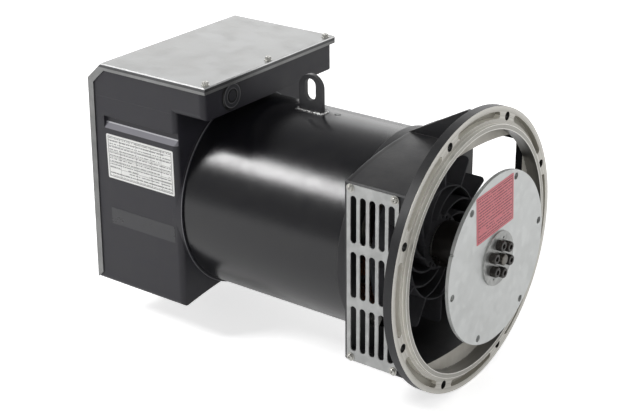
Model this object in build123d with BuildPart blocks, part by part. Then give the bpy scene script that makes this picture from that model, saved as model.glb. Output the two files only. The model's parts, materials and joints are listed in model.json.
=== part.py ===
"""Single-bearing generator alternator head with a flanged drive end.

The shaft lies along X with the drive end at +X. The origin is the centre of
the mounting flange's face. Every length is in millimetres.
"""
import os
from math import cos, degrees, radians, sin, sqrt

from build123d import *

os.makedirs("parts", exist_ok=True)

# ---- fits ----------------------------------------------------------------------------
seat_gap = 0.15        # between pieces that are pressed or bolted together
loose_gap = 0.3        # round screws, coils and stems that pass with play
thread_gap = 0.1       # round a screw's shank in its tapped hole
air_gap = 0.8          # between rotor and stator iron
tap_allowance = 1.0    # tapped hole beyond the end of its screw
overlap = 1.0          # how far fused bodies reach into each other

# ---- mounting flange and register (SAE 5) --------------------------------------------
flange_bolt_circle = 333.375
flange_bolt_count = 8
flange_hole_radius = 5.5
flange_hole_start = 22.5
flange_rim = 5.8125
flange_thickness = 12.0
register_step = 9.5375
register_height = 5.0
register_wall = 6.15
pocket_width = 9.0
pocket_depth = 8.0
pocket_half_angle = 16.3

# ---- stator tube, lifting eye --------------------------------------------------------
tube_radius = 128.9
tube_wall = 3.9
tube_length = 266.0
eye_setback = 149.0
eye_width = 36.0
eye_height = 48.6
eye_thickness = 6.0
eye_slot_width = 16.4
eye_slot_length = 28.5
eye_slot_rise = 28.85
eye_weld_gap = 0.05
weld_width = 5.0
weld_height = 4.0
weld_slope = 35.0

# ---- drive-end bracket ---------------------------------------------------------------
bracket_length = 95.0
bracket_side_step = 8.1
bracket_top_step = 5.6
arch_radius = 500.0
side_wall = 9.0
arch_wall = 6.5
rear_wall = 6.0
web_thickness = 5.0
web_clearance = 1.1875
gusset_thickness = 7.0
gusset_tip_width = 5.0
gusset_tip_drop = 1.0
bracket_edge_radius = 2.5
collar_wall = 3.45
collar_length = 14.0
opening_step = 4.0
window_front_setback = 22.0
window_corner = 5.0

# ---- side grille ---------------------------------------------------------------------
grille_lap_x = 2.5
grille_lap_z = 13.7
grille_margin = 1.6624
grille_shift = 0.9
grille_thickness = 1.5
grille_corner = 7.0
grille_slot_width = 8.5
grille_slot_inset_x = 2.85
grille_slot_over_z = 0.5
grille_slot_gap_z = 11.0
grille_columns = 5
grille_rows = 3
grille_screw_inset_x = 5.5
grille_screw_inset_z = 4.7
grille_screw_radius = 2.0
grille_screw_length = 8.0
grille_head_radius = 4.0
grille_head_height = 2.6
grille_head_bevel = 0.85
grille_washer_radius = 5.4
grille_washer_thickness = 0.8

# ---- tie rods ------------------------------------------------------------------------
rod_wall_distance = 7.5
rod_count = 4
rod_start = 45.0
rod_radius = 5.0
rod_lug_radius = 12.5
rod_head_flats = 15.0
rod_head_height = 5.5
rod_thread_depth = 7.0

# ---- main stator and rotor -----------------------------------------------------------
core_setback = 60.0
core_length = 145.0
core_back = 24.85
slot_count = 36
slot_width = 6.0
slot_depth = 20.0
slot_mouth_over = 1.0
slot_liner = 0.3
slot_wedge = 2.8
rod_notch_width = 13.0
end_turn_clear = 3.0
end_turn_bore_step = 4.0
end_turn_rod_gap = 3.5
end_turn_length = 27.0
end_turn_bevel = 7.0
pole_count = 4
pole_width = 46.0
pole_shoe_width = 80.0
pole_shoe_thickness = 16.2
rotor_hub_radius = 40.0
coil_hub_gap = 3.0
coil_shoe_gap = 1.0
coil_width = 11.0
coil_corner = 8.8

# ---- coupling (SAE 6.5 discs) --------------------------------------------------------
disc_face = 30.2
disc_count = 3
disc_thickness = 1.5
disc_gap = 0.05
disc_bolt_circle = 200.0
disc_bolt_count = 6
disc_hole_radius = 4.5
disc_hole_start = 7.8
disc_rim = 3.45
disc_notch_radius = 1.6
disc_notch_angle = 158.0
clamp_thickness = 2.5
clamp_pin_radius = 1.5
clamp_pin_circle = 26.0
clamp_pin_angle = 68.0
hub_flange_radius = 34.0
hub_flange_thickness = 12.0
hub_neck_radius = 29.0
hub_length = 69.6
hub_web_thickness = 25.6
hub_screw_circle = 18.5
hub_screw_count = 6
hub_screw_start = 37.8
hub_screw_radius = 3.9
hub_screw_length = 24.0
hub_screw_head_radius = 6.5
hub_screw_head_height = 8.0
hub_screw_head_bevel = 0.6
hub_screw_socket = 6.0
hub_screw_socket_depth = 4.0
center_bolt_radius = 5.0
center_bolt_head_radius = 6.8
center_bolt_head_height = 8.8
center_bolt_head_bevel = 0.8
center_bolt_length = 50.0
center_tap_allowance = 4.0
label_width = 84.0
label_inner_gap = 1.7
label_outer_gap = 11.25
label_center_y = -8.8
label_turn = 4.0
label_thickness = 0.2
label_corner = 1.5

# ---- fan -----------------------------------------------------------------------------
fan_hub_gap = 1.0
fan_depth = 33.0
fan_radius = 109.0
fan_ring_radius = 72.4
fan_ring_wall = 1.8
fan_plate_thickness = 2.5
fan_blade_count = 12
fan_blade_thickness = 2.4
fan_blade_corner = 6.0
fan_blade_start = 59.0
fan_vane_setback = 2.0
fan_vane_mid_radius = 56.0
fan_vane_mid_turn = 22.0
fan_vane_root_turn = 50.0
fan_hub_radius = 36.0
fan_hub_recess = 5.0
fan_hole_radius = 2.3
fan_hole_groups = 2
fan_hole_group_size = 3
fan_hole_circle = 30.5
fan_hole_spacing = 17.0
fan_hole_start = 63.0
fan_hole_depth = 6.0

# ---- shaft ---------------------------------------------------------------------------
shaft_tail = 7.0
shaft_end_gap = 1.0
bearing_seat_radius = 20.0
exciter_seat_radius = 22.5
core_seat_radius = 30.0
core_seat_over = 30.0
shoulder_radius = 34.0
shoulder_length = 12.0
fan_seat_radius = 24.0
fan_seat_over = 3.0
fan_shoulder_radius = 27.0
hub_seat_radius = 22.0

# ---- rear shield: walls round the air chamber ----------------------------------------
shield_side_step = 2.5
shield_foot_rise = 0.9
shield_depth = 137.0
shield_wall = 8.0
shield_front_wall = 12.0
shield_rear_wall = 10.0
shield_corner = 7.0
shield_ring_wall = 2.85
shield_ring_height = 3.5
tube_seat_depth = 4.0
shield_arch_rise = 10.5
shield_arch_foot = 8.4
groove_length = 124.0
groove_top = 112.0
groove_step = 103.5
groove_bottom = 95.2
groove_depth = 4.5
vent_width = 46.0
vent_height = 104.0
vent_offset = 88.0

# ---- terminal box on top of the shield -----------------------------------------------
overhang_reach = 48.0
overhang_gap = 9.1
overhang_wall = 6.0
overhang_corner = 8.0
terminal_depth = 39.0
lead_hole_radius = 14.0
lead_hole_setback = 63.0
lead_hole_y = 40.0

# ---- bearing carrier -----------------------------------------------------------------
bearing_boss_radius = 52.0
bearing_boss_length = 36.0
bearing_boss_floor = 16.0
boss_pocket_radius = 26.0
boss_pocket_depth = 10.0
rib_thickness = 8.0
rib_count = 4
rib_start = 45.0
rib_lap = 2.0
carrier_ring_room = 5.35
carrier_ring_wall = 6.0
carrier_ring_land = 17.0
carrier_ring_over = 4.0
exciter_shoulder = 4.0

# ---- sheet cover ---------------------------------------------------------------------
cover_nose = 3.5
cover_chamfer_run = 25.5
cover_chamfer_drop = 23.4
cover_back_lean = 6.7
cover_foot_rise = 3.0
cover_side_step = 1.4
cover_sheet = 1.2
cover_flange = 9.3
cover_gap = 0.2
cover_screw_radius = 2.0
cover_screw_length = 9.0
cover_screw_head_flats = 7.0
cover_screw_head_height = 4.6
cover_screw_collar_radius = 5.2
cover_screw_collar_height = 1.0
cover_screw_offset = 122.0
back_screw_low = 12.0
back_screw_high = 262.0
louvre_center = 132.0
louvre_length = 44.0
louvre_width = 5.0
louvre_pitch = 11.0
louvre_rows = 9

# ---- small parts of the box ----------------------------------------------------------
plug_y = -78.3
plug_rise = 14.2
plug_radius = 17.5
plug_height = 1.4
plug_slope = 30.0
plug_neck_radius = 13.0
plug_ring_radius = 8.6
plug_ring_width = 1.2
plate_setback = 64.0
plate_drop = 37.4
plate_length = 115.0
plate_height = 61.0
plate_thickness = 0.6
plate_corner = 2.0

# ---- bearing (40 x 80 x 18) ----------------------------------------------------------
bearing_width = 18.0
bearing_outer_radius = 40.0
race_wall = 6.0
ball_radius = 6.5
ball_count = 9
ball_gap = 0.3
cage_thickness = 3.0
cage_width = 16.0
circlip_thickness = 1.75
circlip_radius = 23.0
circlip_depth = 1.2
circlip_opening = 6.0

# ---- exciter and rectifier -----------------------------------------------------------
exciter_length = 40.0
exciter_yoke = 14.0
exciter_pole_count = 8
exciter_pole_width = 16.0
exciter_bore = 62.0
exciter_pole_tip = 4.0
exciter_coil_clear = 3.0
exciter_coil_width = 7.0
exciter_coil_corner = 5.6
exciter_slot_count = 18
exciter_slot_width = 4.0
exciter_slot_depth = 12.0
exciter_winding_inner = 34.0
exciter_winding_step = 5.2
exciter_winding_length = 12.0
exciter_winding_bevel = 3.0
rectifier_gap = 28.0
rectifier_radius = 54.0
rectifier_thickness = 6.0
diode_radius = 6.0
diode_height = 7.0
diode_circle = 42.0
diode_count = 6

# ---- terminal box contents -----------------------------------------------------------
board_advance = 5.0
board_y = 20.0
board_length = 34.0
board_width = 130.0
board_thickness = 7.0
board_screw_inset = 7.0
stud_count = 5
stud_pitch = 24.0
stud_radius = 3.0
stud_height = 15.0
nut_flats = 10.0
nut_height = 5.0
regulator_setback = 83.0
regulator_y = -60.0
regulator_length = 62.0
regulator_width = 92.0
regulator_height = 20.0
regulator_corner = 5.0
regulator_screw_inset = 5.0
regulator_fin_count = 6
regulator_fin_pitch = 10.2
regulator_fin_inset = 11.0
regulator_fin_height = 4.0
regulator_fin_thickness = 2.5
small_screw_radius = 1.9
small_screw_reach = 5.0
small_head_radius = 3.6
small_head_height = 2.4
grommet_wall = 2.5
grommet_lip = 3.0
grommet_lip_height = 2.0

# ---- derived: flange, tube and bracket -----------------------------------------------
flange_circle_radius = flange_bolt_circle / 2
flange_radius = flange_circle_radius + flange_hole_radius + flange_rim
register_radius = flange_circle_radius - register_step
register_bore = register_radius - register_wall
tube_inner = tube_radius - tube_wall
opening_radius = tube_inner - opening_step
rod_circle_radius = tube_inner - rod_wall_distance
bracket_rear = -bracket_length
bracket_back_inner = bracket_rear + rear_wall
bracket_half_width = tube_radius + bracket_side_step
bracket_apex = tube_radius + bracket_top_step
inner_half_width = bracket_half_width - side_wall
inner_apex = bracket_apex - arch_wall
side_half_height = bracket_apex - arch_radius + sqrt(arch_radius**2 - bracket_half_width**2)
web_radius = flange_circle_radius - flange_hole_radius - web_clearance
gusset_tip_height = flange_radius - gusset_tip_drop
collar_radius = tube_radius + seat_gap + collar_wall
grille_height = 2 * (side_half_height - grille_margin)
window_height = grille_height - 2 * grille_lap_z
window_length = -window_front_setback - bracket_back_inner
window_center = bracket_back_inner + window_length / 2
grille_length = window_length + 2 * grille_lap_x
grille_center = window_center + grille_shift
grille_slot_pitch = (window_length - 2 * grille_slot_inset_x - grille_slot_width) / (grille_columns - 1)
grille_slots_height = window_height + grille_slot_over_z - (grille_rows - 1) * grille_slot_gap_z
grille_slot_length = grille_slots_height / grille_rows
grille_row_pitch = grille_slot_length + grille_slot_gap_z
grille_screw_pitch_x = grille_length - 2 * grille_screw_inset_x
grille_screw_pitch_z = grille_height - 2 * grille_screw_inset_z
tube_rear = bracket_rear - tube_length
eye_center = bracket_rear - eye_setback

# ---- derived: main stator and rotor --------------------------------------------------
core_front = bracket_rear - core_setback
core_rear = core_front - core_length
core_radius = tube_inner - seat_gap
stator_bore = core_radius - core_back - slot_depth
end_turn_inner = stator_bore + end_turn_bore_step
end_turn_outer = rod_circle_radius - rod_radius - end_turn_rod_gap
rotor_radius = stator_bore - air_gap
pole_shoe_foot = rotor_radius - pole_shoe_thickness
coil_inner = rotor_hub_radius + coil_hub_gap
coil_height = pole_shoe_foot - coil_shoe_gap - coil_inner
core_seat_rear = core_rear - core_seat_over

# ---- derived: coupling, fan and front of the shaft -----------------------------------
disc_radius = disc_bolt_circle / 2 + disc_hole_radius + disc_rim
disc_pack = disc_count * disc_thickness + (disc_count - 1) * disc_gap
disc_rear = disc_face - disc_pack
clamp_radius = hub_flange_radius
clamp_face = disc_face + clamp_thickness
hub_screw_tap_depth = hub_screw_length - clamp_thickness - disc_pack + tap_allowance
hub_rear = disc_rear - hub_length
hub_web_rear = disc_rear - hub_web_thickness
shaft_front = hub_web_rear - shaft_end_gap
label_bottom = hub_flange_radius + label_inner_gap
label_height = disc_radius - label_outer_gap - label_bottom
label_center_z = label_bottom + label_height / 2
fan_front = hub_rear - fan_hub_gap
fan_back = fan_front - fan_depth
fan_hub_front = fan_front - fan_hub_recess
fan_seat_front = fan_hub_front + fan_seat_over

# ---- derived: rear shield, terminal box and cover ------------------------------------
shield_front = tube_rear + tube_seat_depth
front_wall_inner = shield_front - shield_front_wall
shield_inner_rear = shield_front - shield_depth
shield_half_width = tube_radius + shield_side_step
shield_bottom = shield_foot_rise - tube_radius
shield_ring_radius = tube_radius + seat_gap + shield_ring_wall
shield_arch_apex = shield_bottom + shield_arch_rise
shield_arch_half_width = shield_half_width - shield_arch_foot
chamber_bottom = shield_arch_apex + shield_wall
overhang_front = shield_front + overhang_reach
overhang_bottom = tube_radius + overhang_gap
overhang_floor = overhang_bottom + overhang_wall
groove_rear = shield_front - groove_length
lead_hole_x = shield_front - lead_hole_setback
cover_top = overhang_floor + terminal_depth
cover_front = overhang_front + cover_nose
cover_back_x = shield_inner_rear - shield_rear_wall
cover_back_z = cover_top - cover_chamfer_drop
cover_bend_x = cover_back_x + cover_chamfer_run
cover_foot_x = cover_back_x - cover_back_lean
cover_foot_z = shield_bottom + cover_foot_rise
cover_half_width = shield_half_width + cover_side_step
rear_face_gap = cover_sheet + cover_gap
plug_z = overhang_floor + plug_rise
plate_center_x = shield_front - plate_setback
plate_center_z = groove_bottom - plate_drop
board_x = shield_front + board_advance
regulator_x = shield_front - regulator_setback
regulator_row = regulator_width - 2 * regulator_screw_inset
regulator_column = regulator_length - 2 * regulator_screw_inset
board_row = board_width - 2 * board_screw_inset

# ---- derived: bearing, exciter and rear of the shaft ---------------------------------
bearing_rear = shield_inner_rear + bearing_boss_floor
bearing_front = bearing_rear + bearing_width
bearing_boss_front = shield_inner_rear + bearing_boss_length
shaft_rear = bearing_rear - shaft_tail
carrier_ring_outer = -chamber_bottom - carrier_ring_room
exciter_seat = carrier_ring_outer - carrier_ring_wall
exciter_radius = exciter_seat - seat_gap
carrier_ring_rear = bearing_boss_front + overlap
exciter_rear = carrier_ring_rear + carrier_ring_land
exciter_front = exciter_rear + exciter_length
carrier_ring_front = exciter_front + carrier_ring_over
exciter_coil_seat = exciter_bore + exciter_pole_tip
exciter_coil_height = exciter_radius - exciter_yoke - exciter_coil_seat - exciter_coil_clear
exciter_rotor_radius = exciter_bore - air_gap
exciter_winding_outer = exciter_rotor_radius - exciter_winding_step
rectifier_front = exciter_front + rectifier_gap + rectifier_thickness


def polar(radius: float, angle: float) -> tuple[float, float]:
    """Point at a radius and an angle in degrees, in a sketch."""
    return (radius * cos(radians(angle)), radius * sin(radians(angle)))


def finish(builder: BuildPart, label: str) -> None:
    """Label a finished piece and write its STEP file."""
    builder.part.label = label
    export_step(builder.part, f"parts/{label}.step")


def bevelled_band(length: float, height: float, bevel: float) -> Sketch:
    """Rectangle with its four corners cut off at 45 degrees."""
    with BuildSketch() as outline:
        Rectangle(length, height)
        chamfer(outline.vertices(), length=bevel)
    return outline.sketch


def arched_outline(half_width: float, apex: float) -> Sketch:
    """Outline with flat sides and a shallow arch above and below."""
    corner = apex - arch_radius + sqrt(arch_radius**2 - half_width**2)
    with BuildSketch() as outline:
        with BuildLine():
            ThreePointArc((-half_width, corner), (0, apex), (half_width, corner))
            Line((half_width, corner), (half_width, -corner))
            ThreePointArc((half_width, -corner), (0, -apex), (-half_width, -corner))
            Line((-half_width, -corner), (-half_width, corner))
        make_face()
    return outline.sketch


def cover_outline(inset: float) -> Sketch:
    """Side view of the space under the cover, moved in by a distance."""
    slope = (cover_foot_x - cover_back_x) / (cover_foot_z - cover_back_z)
    low_z = cover_foot_z - shield_wall * 4
    low_x = cover_foot_x + slope * (low_z - cover_foot_z)
    with BuildSketch() as outline:
        with BuildLine():
            Polyline(
                (cover_front, cover_top),
                (cover_bend_x, cover_top),
                (cover_back_x, cover_back_z),
                (low_x, low_z),
                (cover_front, low_z),
                close=True,
            )
        make_face()
        if inset > 0:
            offset(amount=-inset, kind=Kind.INTERSECTION, mode=Mode.REPLACE)
    return outline.sketch


# ---- drive-end bracket: flange, register, arched body, gussets -----------------------
with BuildPart() as drive_end_bracket:
    with BuildSketch(Plane.YZ.offset(-flange_thickness)):
        Circle(flange_radius)
    extrude(amount=flange_thickness)
    with BuildSketch(Plane.YZ):
        Circle(register_radius)
    extrude(amount=register_height)
    with BuildSketch(Plane.YZ.offset(bracket_rear)):
        add(arched_outline(bracket_half_width, bracket_apex))
        Circle(flange_radius, mode=Mode.INTERSECT)
    extrude(amount=bracket_length - flange_thickness)
    back_edges = drive_end_bracket.faces().sort_by(Axis.X)[0].edges()
    fillet(back_edges, radius=bracket_edge_radius)
    with BuildSketch(Plane.YZ.offset(-flange_thickness - web_thickness)):
        Circle(web_radius)
    extrude(amount=web_thickness)
    # the gussets run from the collar up to the rim, above and below
    with BuildSketch(Plane.XZ) as gusset_profile:
        with BuildLine():
            Polyline(
                (bracket_rear, inner_apex),
                (bracket_rear, bracket_apex),
                (-flange_thickness - gusset_tip_width, gusset_tip_height),
                (-flange_thickness, gusset_tip_height),
                (-flange_thickness, inner_apex),
                close=True,
            )
        make_face()
        mirror(about=Plane.XZ)
    extrude(amount=gusset_thickness / 2, both=True)
    # collar that laps the front end of the tube
    with BuildSketch(Plane.YZ.offset(bracket_rear - collar_length)):
        Circle(collar_radius)
    extrude(amount=collar_length)
    # register bore, arched chamber and rear opening between the rod lugs
    with BuildSketch(Plane.YZ.offset(-flange_thickness)):
        Circle(register_bore)
    extrude(amount=flange_thickness + register_height, mode=Mode.SUBTRACT)
    with BuildSketch(Plane.YZ.offset(bracket_back_inner)):
        add(arched_outline(inner_half_width, inner_apex))
    extrude(amount=-bracket_back_inner - flange_thickness, mode=Mode.SUBTRACT)
    with BuildSketch(Plane.YZ.offset(bracket_rear)):
        Circle(opening_radius)
        with PolarLocations(rod_circle_radius, rod_count, start_angle=rod_start):
            Circle(rod_lug_radius, mode=Mode.SUBTRACT)
            Circle(rod_radius + thread_gap)
    extrude(amount=rear_wall, mode=Mode.SUBTRACT)
    with BuildSketch(Plane.YZ.offset(bracket_rear - collar_length)):
        Circle(tube_radius + seat_gap)
    extrude(amount=collar_length, mode=Mode.SUBTRACT)
    # flange bolt holes and the blind kidney pockets between them
    with BuildSketch(Plane.YZ.offset(-flange_thickness)):
        with PolarLocations(flange_circle_radius, flange_bolt_count, start_angle=flange_hole_start):
            Circle(flange_hole_radius)
    extrude(amount=flange_thickness, mode=Mode.SUBTRACT)
    pocket_end = pocket_half_angle - degrees(pocket_width / flange_bolt_circle)
    pocket_line = CenterArc((0, 0), flange_circle_radius, -pocket_end, 2 * pocket_end, mode=Mode.PRIVATE)
    with BuildSketch(Plane.YZ):
        with PolarLocations(0, flange_bolt_count, start_angle=flange_hole_start + 180 / flange_bolt_count):
            SlotArc(arc=pocket_line, height=pocket_width)
    extrude(amount=-pocket_depth, mode=Mode.SUBTRACT)
    # a window in each side wall, with four tapped holes for a grille round it; the
    # grille on the -Y side sits a little forward, and the spare holes are centred
    with BuildSketch(Plane.XZ):
        with Locations((window_center, 0)):
            RectangleRounded(window_length, window_height, window_corner)
    extrude(amount=bracket_half_width, both=True, mode=Mode.SUBTRACT)
    for side, hole_center in ((1, grille_center), (-1, window_center)):
        with BuildSketch(Plane.XZ):
            with Locations((hole_center, 0)):
                with GridLocations(grille_screw_pitch_x, grille_screw_pitch_z, 2, 2):
                    Circle(grille_screw_radius + thread_gap)
        extrude(amount=side * bracket_half_width, mode=Mode.SUBTRACT)
finish(drive_end_bracket, "drive_end_bracket")

# ---- side grille over the window on the -Y side --------------------------------------
with BuildPart() as side_grille:
    with BuildSketch(Plane.XZ.offset(bracket_half_width)):
        with Locations((grille_center, 0)):
            RectangleRounded(grille_length, grille_height, grille_corner)
            with GridLocations(grille_slot_pitch, grille_row_pitch, grille_columns, grille_rows):
                SlotOverall(grille_slot_length, grille_slot_width, rotation=90, mode=Mode.SUBTRACT)
            with GridLocations(grille_screw_pitch_x, grille_screw_pitch_z, 2, 2):
                Circle(grille_screw_radius + loose_gap, mode=Mode.SUBTRACT)
    extrude(amount=grille_thickness)
finish(side_grille, "side_grille")

grille_face = bracket_half_width + grille_thickness
with BuildPart() as grille_washers:
    with BuildSketch(Plane.XZ.offset(grille_face)):
        with Locations((grille_center, 0)):
            with GridLocations(grille_screw_pitch_x, grille_screw_pitch_z, 2, 2):
                Circle(grille_washer_radius)
                Circle(grille_screw_radius + loose_gap, mode=Mode.SUBTRACT)
    extrude(amount=grille_washer_thickness)
finish(grille_washers, "grille_washers")

washer_face = grille_face + grille_washer_thickness
with BuildPart() as grille_screws:
    with BuildSketch(Plane.XZ.offset(washer_face)):
        with Locations((grille_center, 0)):
            with GridLocations(grille_screw_pitch_x, grille_screw_pitch_z, 2, 2):
                Circle(grille_head_radius)
    extrude(amount=grille_head_height)
    chamfer(grille_screws.edges().group_by(Axis.Y)[0], length=grille_head_bevel)
    with BuildSketch(Plane.XZ.offset(washer_face)):
        with Locations((grille_center, 0)):
            with GridLocations(grille_screw_pitch_x, grille_screw_pitch_z, 2, 2):
                Circle(grille_screw_radius)
    extrude(amount=-grille_screw_length)
finish(grille_screws, "grille_screws")

# ---- stator tube, lifting eye and its weld -------------------------------------------
with BuildPart() as stator_tube:
    with BuildSketch(Plane.YZ.offset(tube_rear)):
        Circle(tube_radius)
        Circle(tube_inner, mode=Mode.SUBTRACT)
    extrude(amount=tube_length)
finish(stator_tube, "stator_tube")

eye_foot = tube_radius + eye_weld_gap
eye_round = eye_width / 2
with BuildPart() as lifting_eye:
    with BuildSketch(Plane.XZ):
        with Locations((eye_center, eye_foot)):
            Rectangle(eye_width, eye_height - eye_round, align=(Align.CENTER, Align.MIN))
        with Locations((eye_center, eye_foot + eye_height - eye_round)):
            Circle(eye_round)
        with Locations((eye_center, eye_foot + eye_slot_rise)):
            SlotOverall(eye_slot_length, eye_slot_width, rotation=90, mode=Mode.SUBTRACT)
    extrude(amount=eye_thickness / 2, both=True)
finish(lifting_eye, "lifting_eye")

with BuildPart() as eye_weld:
    with BuildSketch(Plane.XY.offset(eye_foot)):
        with Locations((eye_center, 0)):
            RectangleRounded(eye_width + 2 * weld_width, eye_thickness + 2 * weld_width, weld_width)
    extrude(amount=weld_height, taper=weld_slope)
    with BuildSketch(Plane.XY.offset(eye_foot)):
        with Locations((eye_center, 0)):
            Rectangle(eye_width + 2 * seat_gap, eye_thickness + 2 * seat_gap)
    extrude(amount=weld_height, mode=Mode.SUBTRACT)
finish(eye_weld, "eye_weld")

# ---- main stator: slotted core and winding -------------------------------------------
rod_notch_length = 2 * (core_radius - rod_circle_radius) + rod_notch_width
with BuildPart() as stator_core:
    with BuildSketch(Plane.YZ.offset(core_rear)):
        Circle(core_radius)
        Circle(stator_bore, mode=Mode.SUBTRACT)
        with PolarLocations(stator_bore + slot_depth / 2, slot_count):
            Rectangle(slot_depth + 2 * slot_mouth_over, slot_width, mode=Mode.SUBTRACT)
        with PolarLocations(core_radius, rod_count, start_angle=rod_start):
            Rectangle(rod_notch_length, rod_notch_width, mode=Mode.SUBTRACT)
    extrude(amount=core_length)
finish(stator_core, "stator_core")

end_turn_mid = (end_turn_inner + end_turn_outer) / 2
end_turn_shift = end_turn_clear + end_turn_length / 2
bar_reach = end_turn_clear + end_turn_bevel
with BuildPart() as stator_winding:
    with BuildSketch(Plane.XZ):
        with Locations(
            (core_front + end_turn_shift, end_turn_mid),
            (core_rear - end_turn_shift, end_turn_mid),
        ):
            add(bevelled_band(end_turn_length, end_turn_outer - end_turn_inner, end_turn_bevel))
    revolve(axis=Axis.X)
    with BuildSketch(Plane.YZ.offset(core_rear - bar_reach)):
        with PolarLocations(stator_bore + slot_depth / 2 + slot_liner, slot_count):
            Rectangle(slot_depth - 2 * slot_wedge, slot_width - 2 * slot_liner)
    extrude(amount=core_length + 2 * bar_reach)
finish(stator_winding, "stator_winding")

# ---- tie rods: hexagon heads inside the bracket, threads in the rear shield ----------
rod_end = shield_front - tube_seat_depth - rod_thread_depth
with BuildPart() as tie_rods:
    with BuildSketch(Plane.YZ.offset(rod_end)):
        with PolarLocations(rod_circle_radius, rod_count, start_angle=rod_start):
            Circle(rod_radius)
    extrude(amount=bracket_back_inner - rod_end)
    with BuildSketch(Plane.YZ.offset(bracket_back_inner)):
        with PolarLocations(rod_circle_radius, rod_count, start_angle=rod_start):
            RegularPolygon(rod_head_flats / 2, 6, major_radius=False)
    extrude(amount=rod_head_height)
finish(tie_rods, "tie_rods")

# ---- rear casting: shield below, terminal box above ----------------------------------
far_reach = 2 * shield_depth + 2 * overhang_reach
far_height = 2 * cover_top - 2 * shield_bottom
with BuildPart() as rear_casting:
    with BuildSketch(Plane.XZ):
        add(cover_outline(rear_face_gap))
        with Locations((cover_back_x, shield_bottom)):
            Rectangle(2 * far_reach, far_height, align=(Align.CENTER, Align.MAX), mode=Mode.SUBTRACT)
        with Locations((overhang_front, 0)):
            Rectangle(far_reach, far_height, align=(Align.MIN, Align.CENTER), mode=Mode.SUBTRACT)
        with Locations((shield_front, overhang_bottom)):
            Rectangle(far_reach, far_height, align=(Align.MIN, Align.MAX), mode=Mode.SUBTRACT)
    extrude(amount=shield_half_width, both=True)
    low_edges = rear_casting.edges().filter_by(Axis.X).group_by(Axis.Z)[0]
    upright_edges = rear_casting.edges().filter_by(Axis.Z)
    front_edges = upright_edges.filter_by_position(Axis.X, shield_front - overlap, shield_front + overlap)
    fillet(low_edges + front_edges, radius=shield_corner)
    overhang_edges = rear_casting.edges().filter_by(Axis.Z).group_by(Axis.X)[-1]
    overhang_low_edges = (
        rear_casting.edges()
        .filter_by(Axis.X)
        .filter_by_position(Axis.Z, overhang_bottom - overlap, overhang_bottom + overlap)
    )
    fillet(overhang_edges + overhang_low_edges, radius=overhang_corner)
    # shallow arch along the underside
    with BuildSketch(Plane.YZ.offset(shield_front)):
        with BuildLine():
            ThreePointArc(
                (-shield_arch_half_width, shield_bottom),
                (0, shield_arch_apex),
                (shield_arch_half_width, shield_bottom),
            )
            Line((shield_arch_half_width, shield_bottom), (-shield_arch_half_width, shield_bottom))
        make_face()
    extrude(amount=-far_reach, mode=Mode.SUBTRACT)
    # ring that takes the rear end of the tube
    with BuildSketch(Plane.YZ.offset(front_wall_inner)):
        Circle(shield_ring_radius)
    extrude(amount=shield_front_wall + shield_ring_height)
    with BuildSketch(Plane.YZ.offset(shield_front - tube_seat_depth)):
        Circle(tube_radius + seat_gap)
    extrude(amount=tube_seat_depth + shield_ring_height, mode=Mode.SUBTRACT)
    # air chamber behind the front wall, and the opening between the rod lugs
    with BuildSketch(Plane.YZ.offset(shield_inner_rear)):
        with Locations((0, chamber_bottom)):
            RectangleRounded(
                2 * (shield_half_width - shield_wall),
                2 * (overhang_bottom - chamber_bottom),
                shield_corner,
            )
        with Locations((0, overhang_bottom)):
            Rectangle(far_reach, far_height, align=(Align.CENTER, Align.MIN), mode=Mode.SUBTRACT)
        with Locations((0, chamber_bottom)):
            Rectangle(far_reach, far_height, align=(Align.CENTER, Align.MAX), mode=Mode.SUBTRACT)
    extrude(amount=front_wall_inner - shield_inner_rear, mode=Mode.SUBTRACT)
    with BuildSketch(Plane.YZ.offset(front_wall_inner)):
        Circle(opening_radius)
        with PolarLocations(rod_circle_radius, rod_count, start_angle=rod_start):
            Circle(rod_lug_radius, mode=Mode.SUBTRACT)
            Circle(rod_radius + thread_gap)
    extrude(amount=shield_front_wall, mode=Mode.SUBTRACT)
    # air inlets through the back, behind the cover's louvres
    with BuildSketch(Plane.YZ.offset(shield_inner_rear)):
        with GridLocations(2 * vent_offset, 0, 2, 1):
            Rectangle(vent_width, vent_height)
    extrude(amount=-shield_rear_wall - cover_back_lean, mode=Mode.SUBTRACT)
    # terminal chamber, open under the cover, with a hole for the leads
    terminal_length = overhang_front - shield_wall - shield_inner_rear
    with BuildSketch(Plane.XY.offset(overhang_floor)):
        with Locations((shield_inner_rear + terminal_length / 2, 0)):
            RectangleRounded(terminal_length, 2 * (shield_half_width - shield_wall), overhang_corner / 2)
    extrude(amount=terminal_depth, mode=Mode.SUBTRACT)
    with BuildSketch(Plane.XY.offset(overhang_floor)):
        with Locations((lead_hole_x, lead_hole_y)):
            Circle(lead_hole_radius)
    extrude(amount=-overhang_wall, mode=Mode.SUBTRACT)
    # grip groove on both sides: a square step above a long bevel, open at the front
    for side in (-1, 1):
        groove_floor = side * (shield_half_width - groove_depth)
        with BuildSketch(Plane.YZ.offset(groove_rear)):
            with BuildLine():
                Polyline(
                    (side * shield_half_width, groove_top),
                    (groove_floor, groove_top),
                    (groove_floor, groove_step),
                    (side * shield_half_width, groove_bottom),
                    close=True,
                )
            make_face()
        extrude(amount=groove_length, mode=Mode.SUBTRACT)
    # round knockout in the front of the terminal box
    with BuildSketch(Plane.YZ.offset(overhang_front)):
        with Locations((plug_y, plug_z)):
            Circle(plug_neck_radius + seat_gap)
    extrude(amount=-shield_wall, mode=Mode.SUBTRACT)
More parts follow.
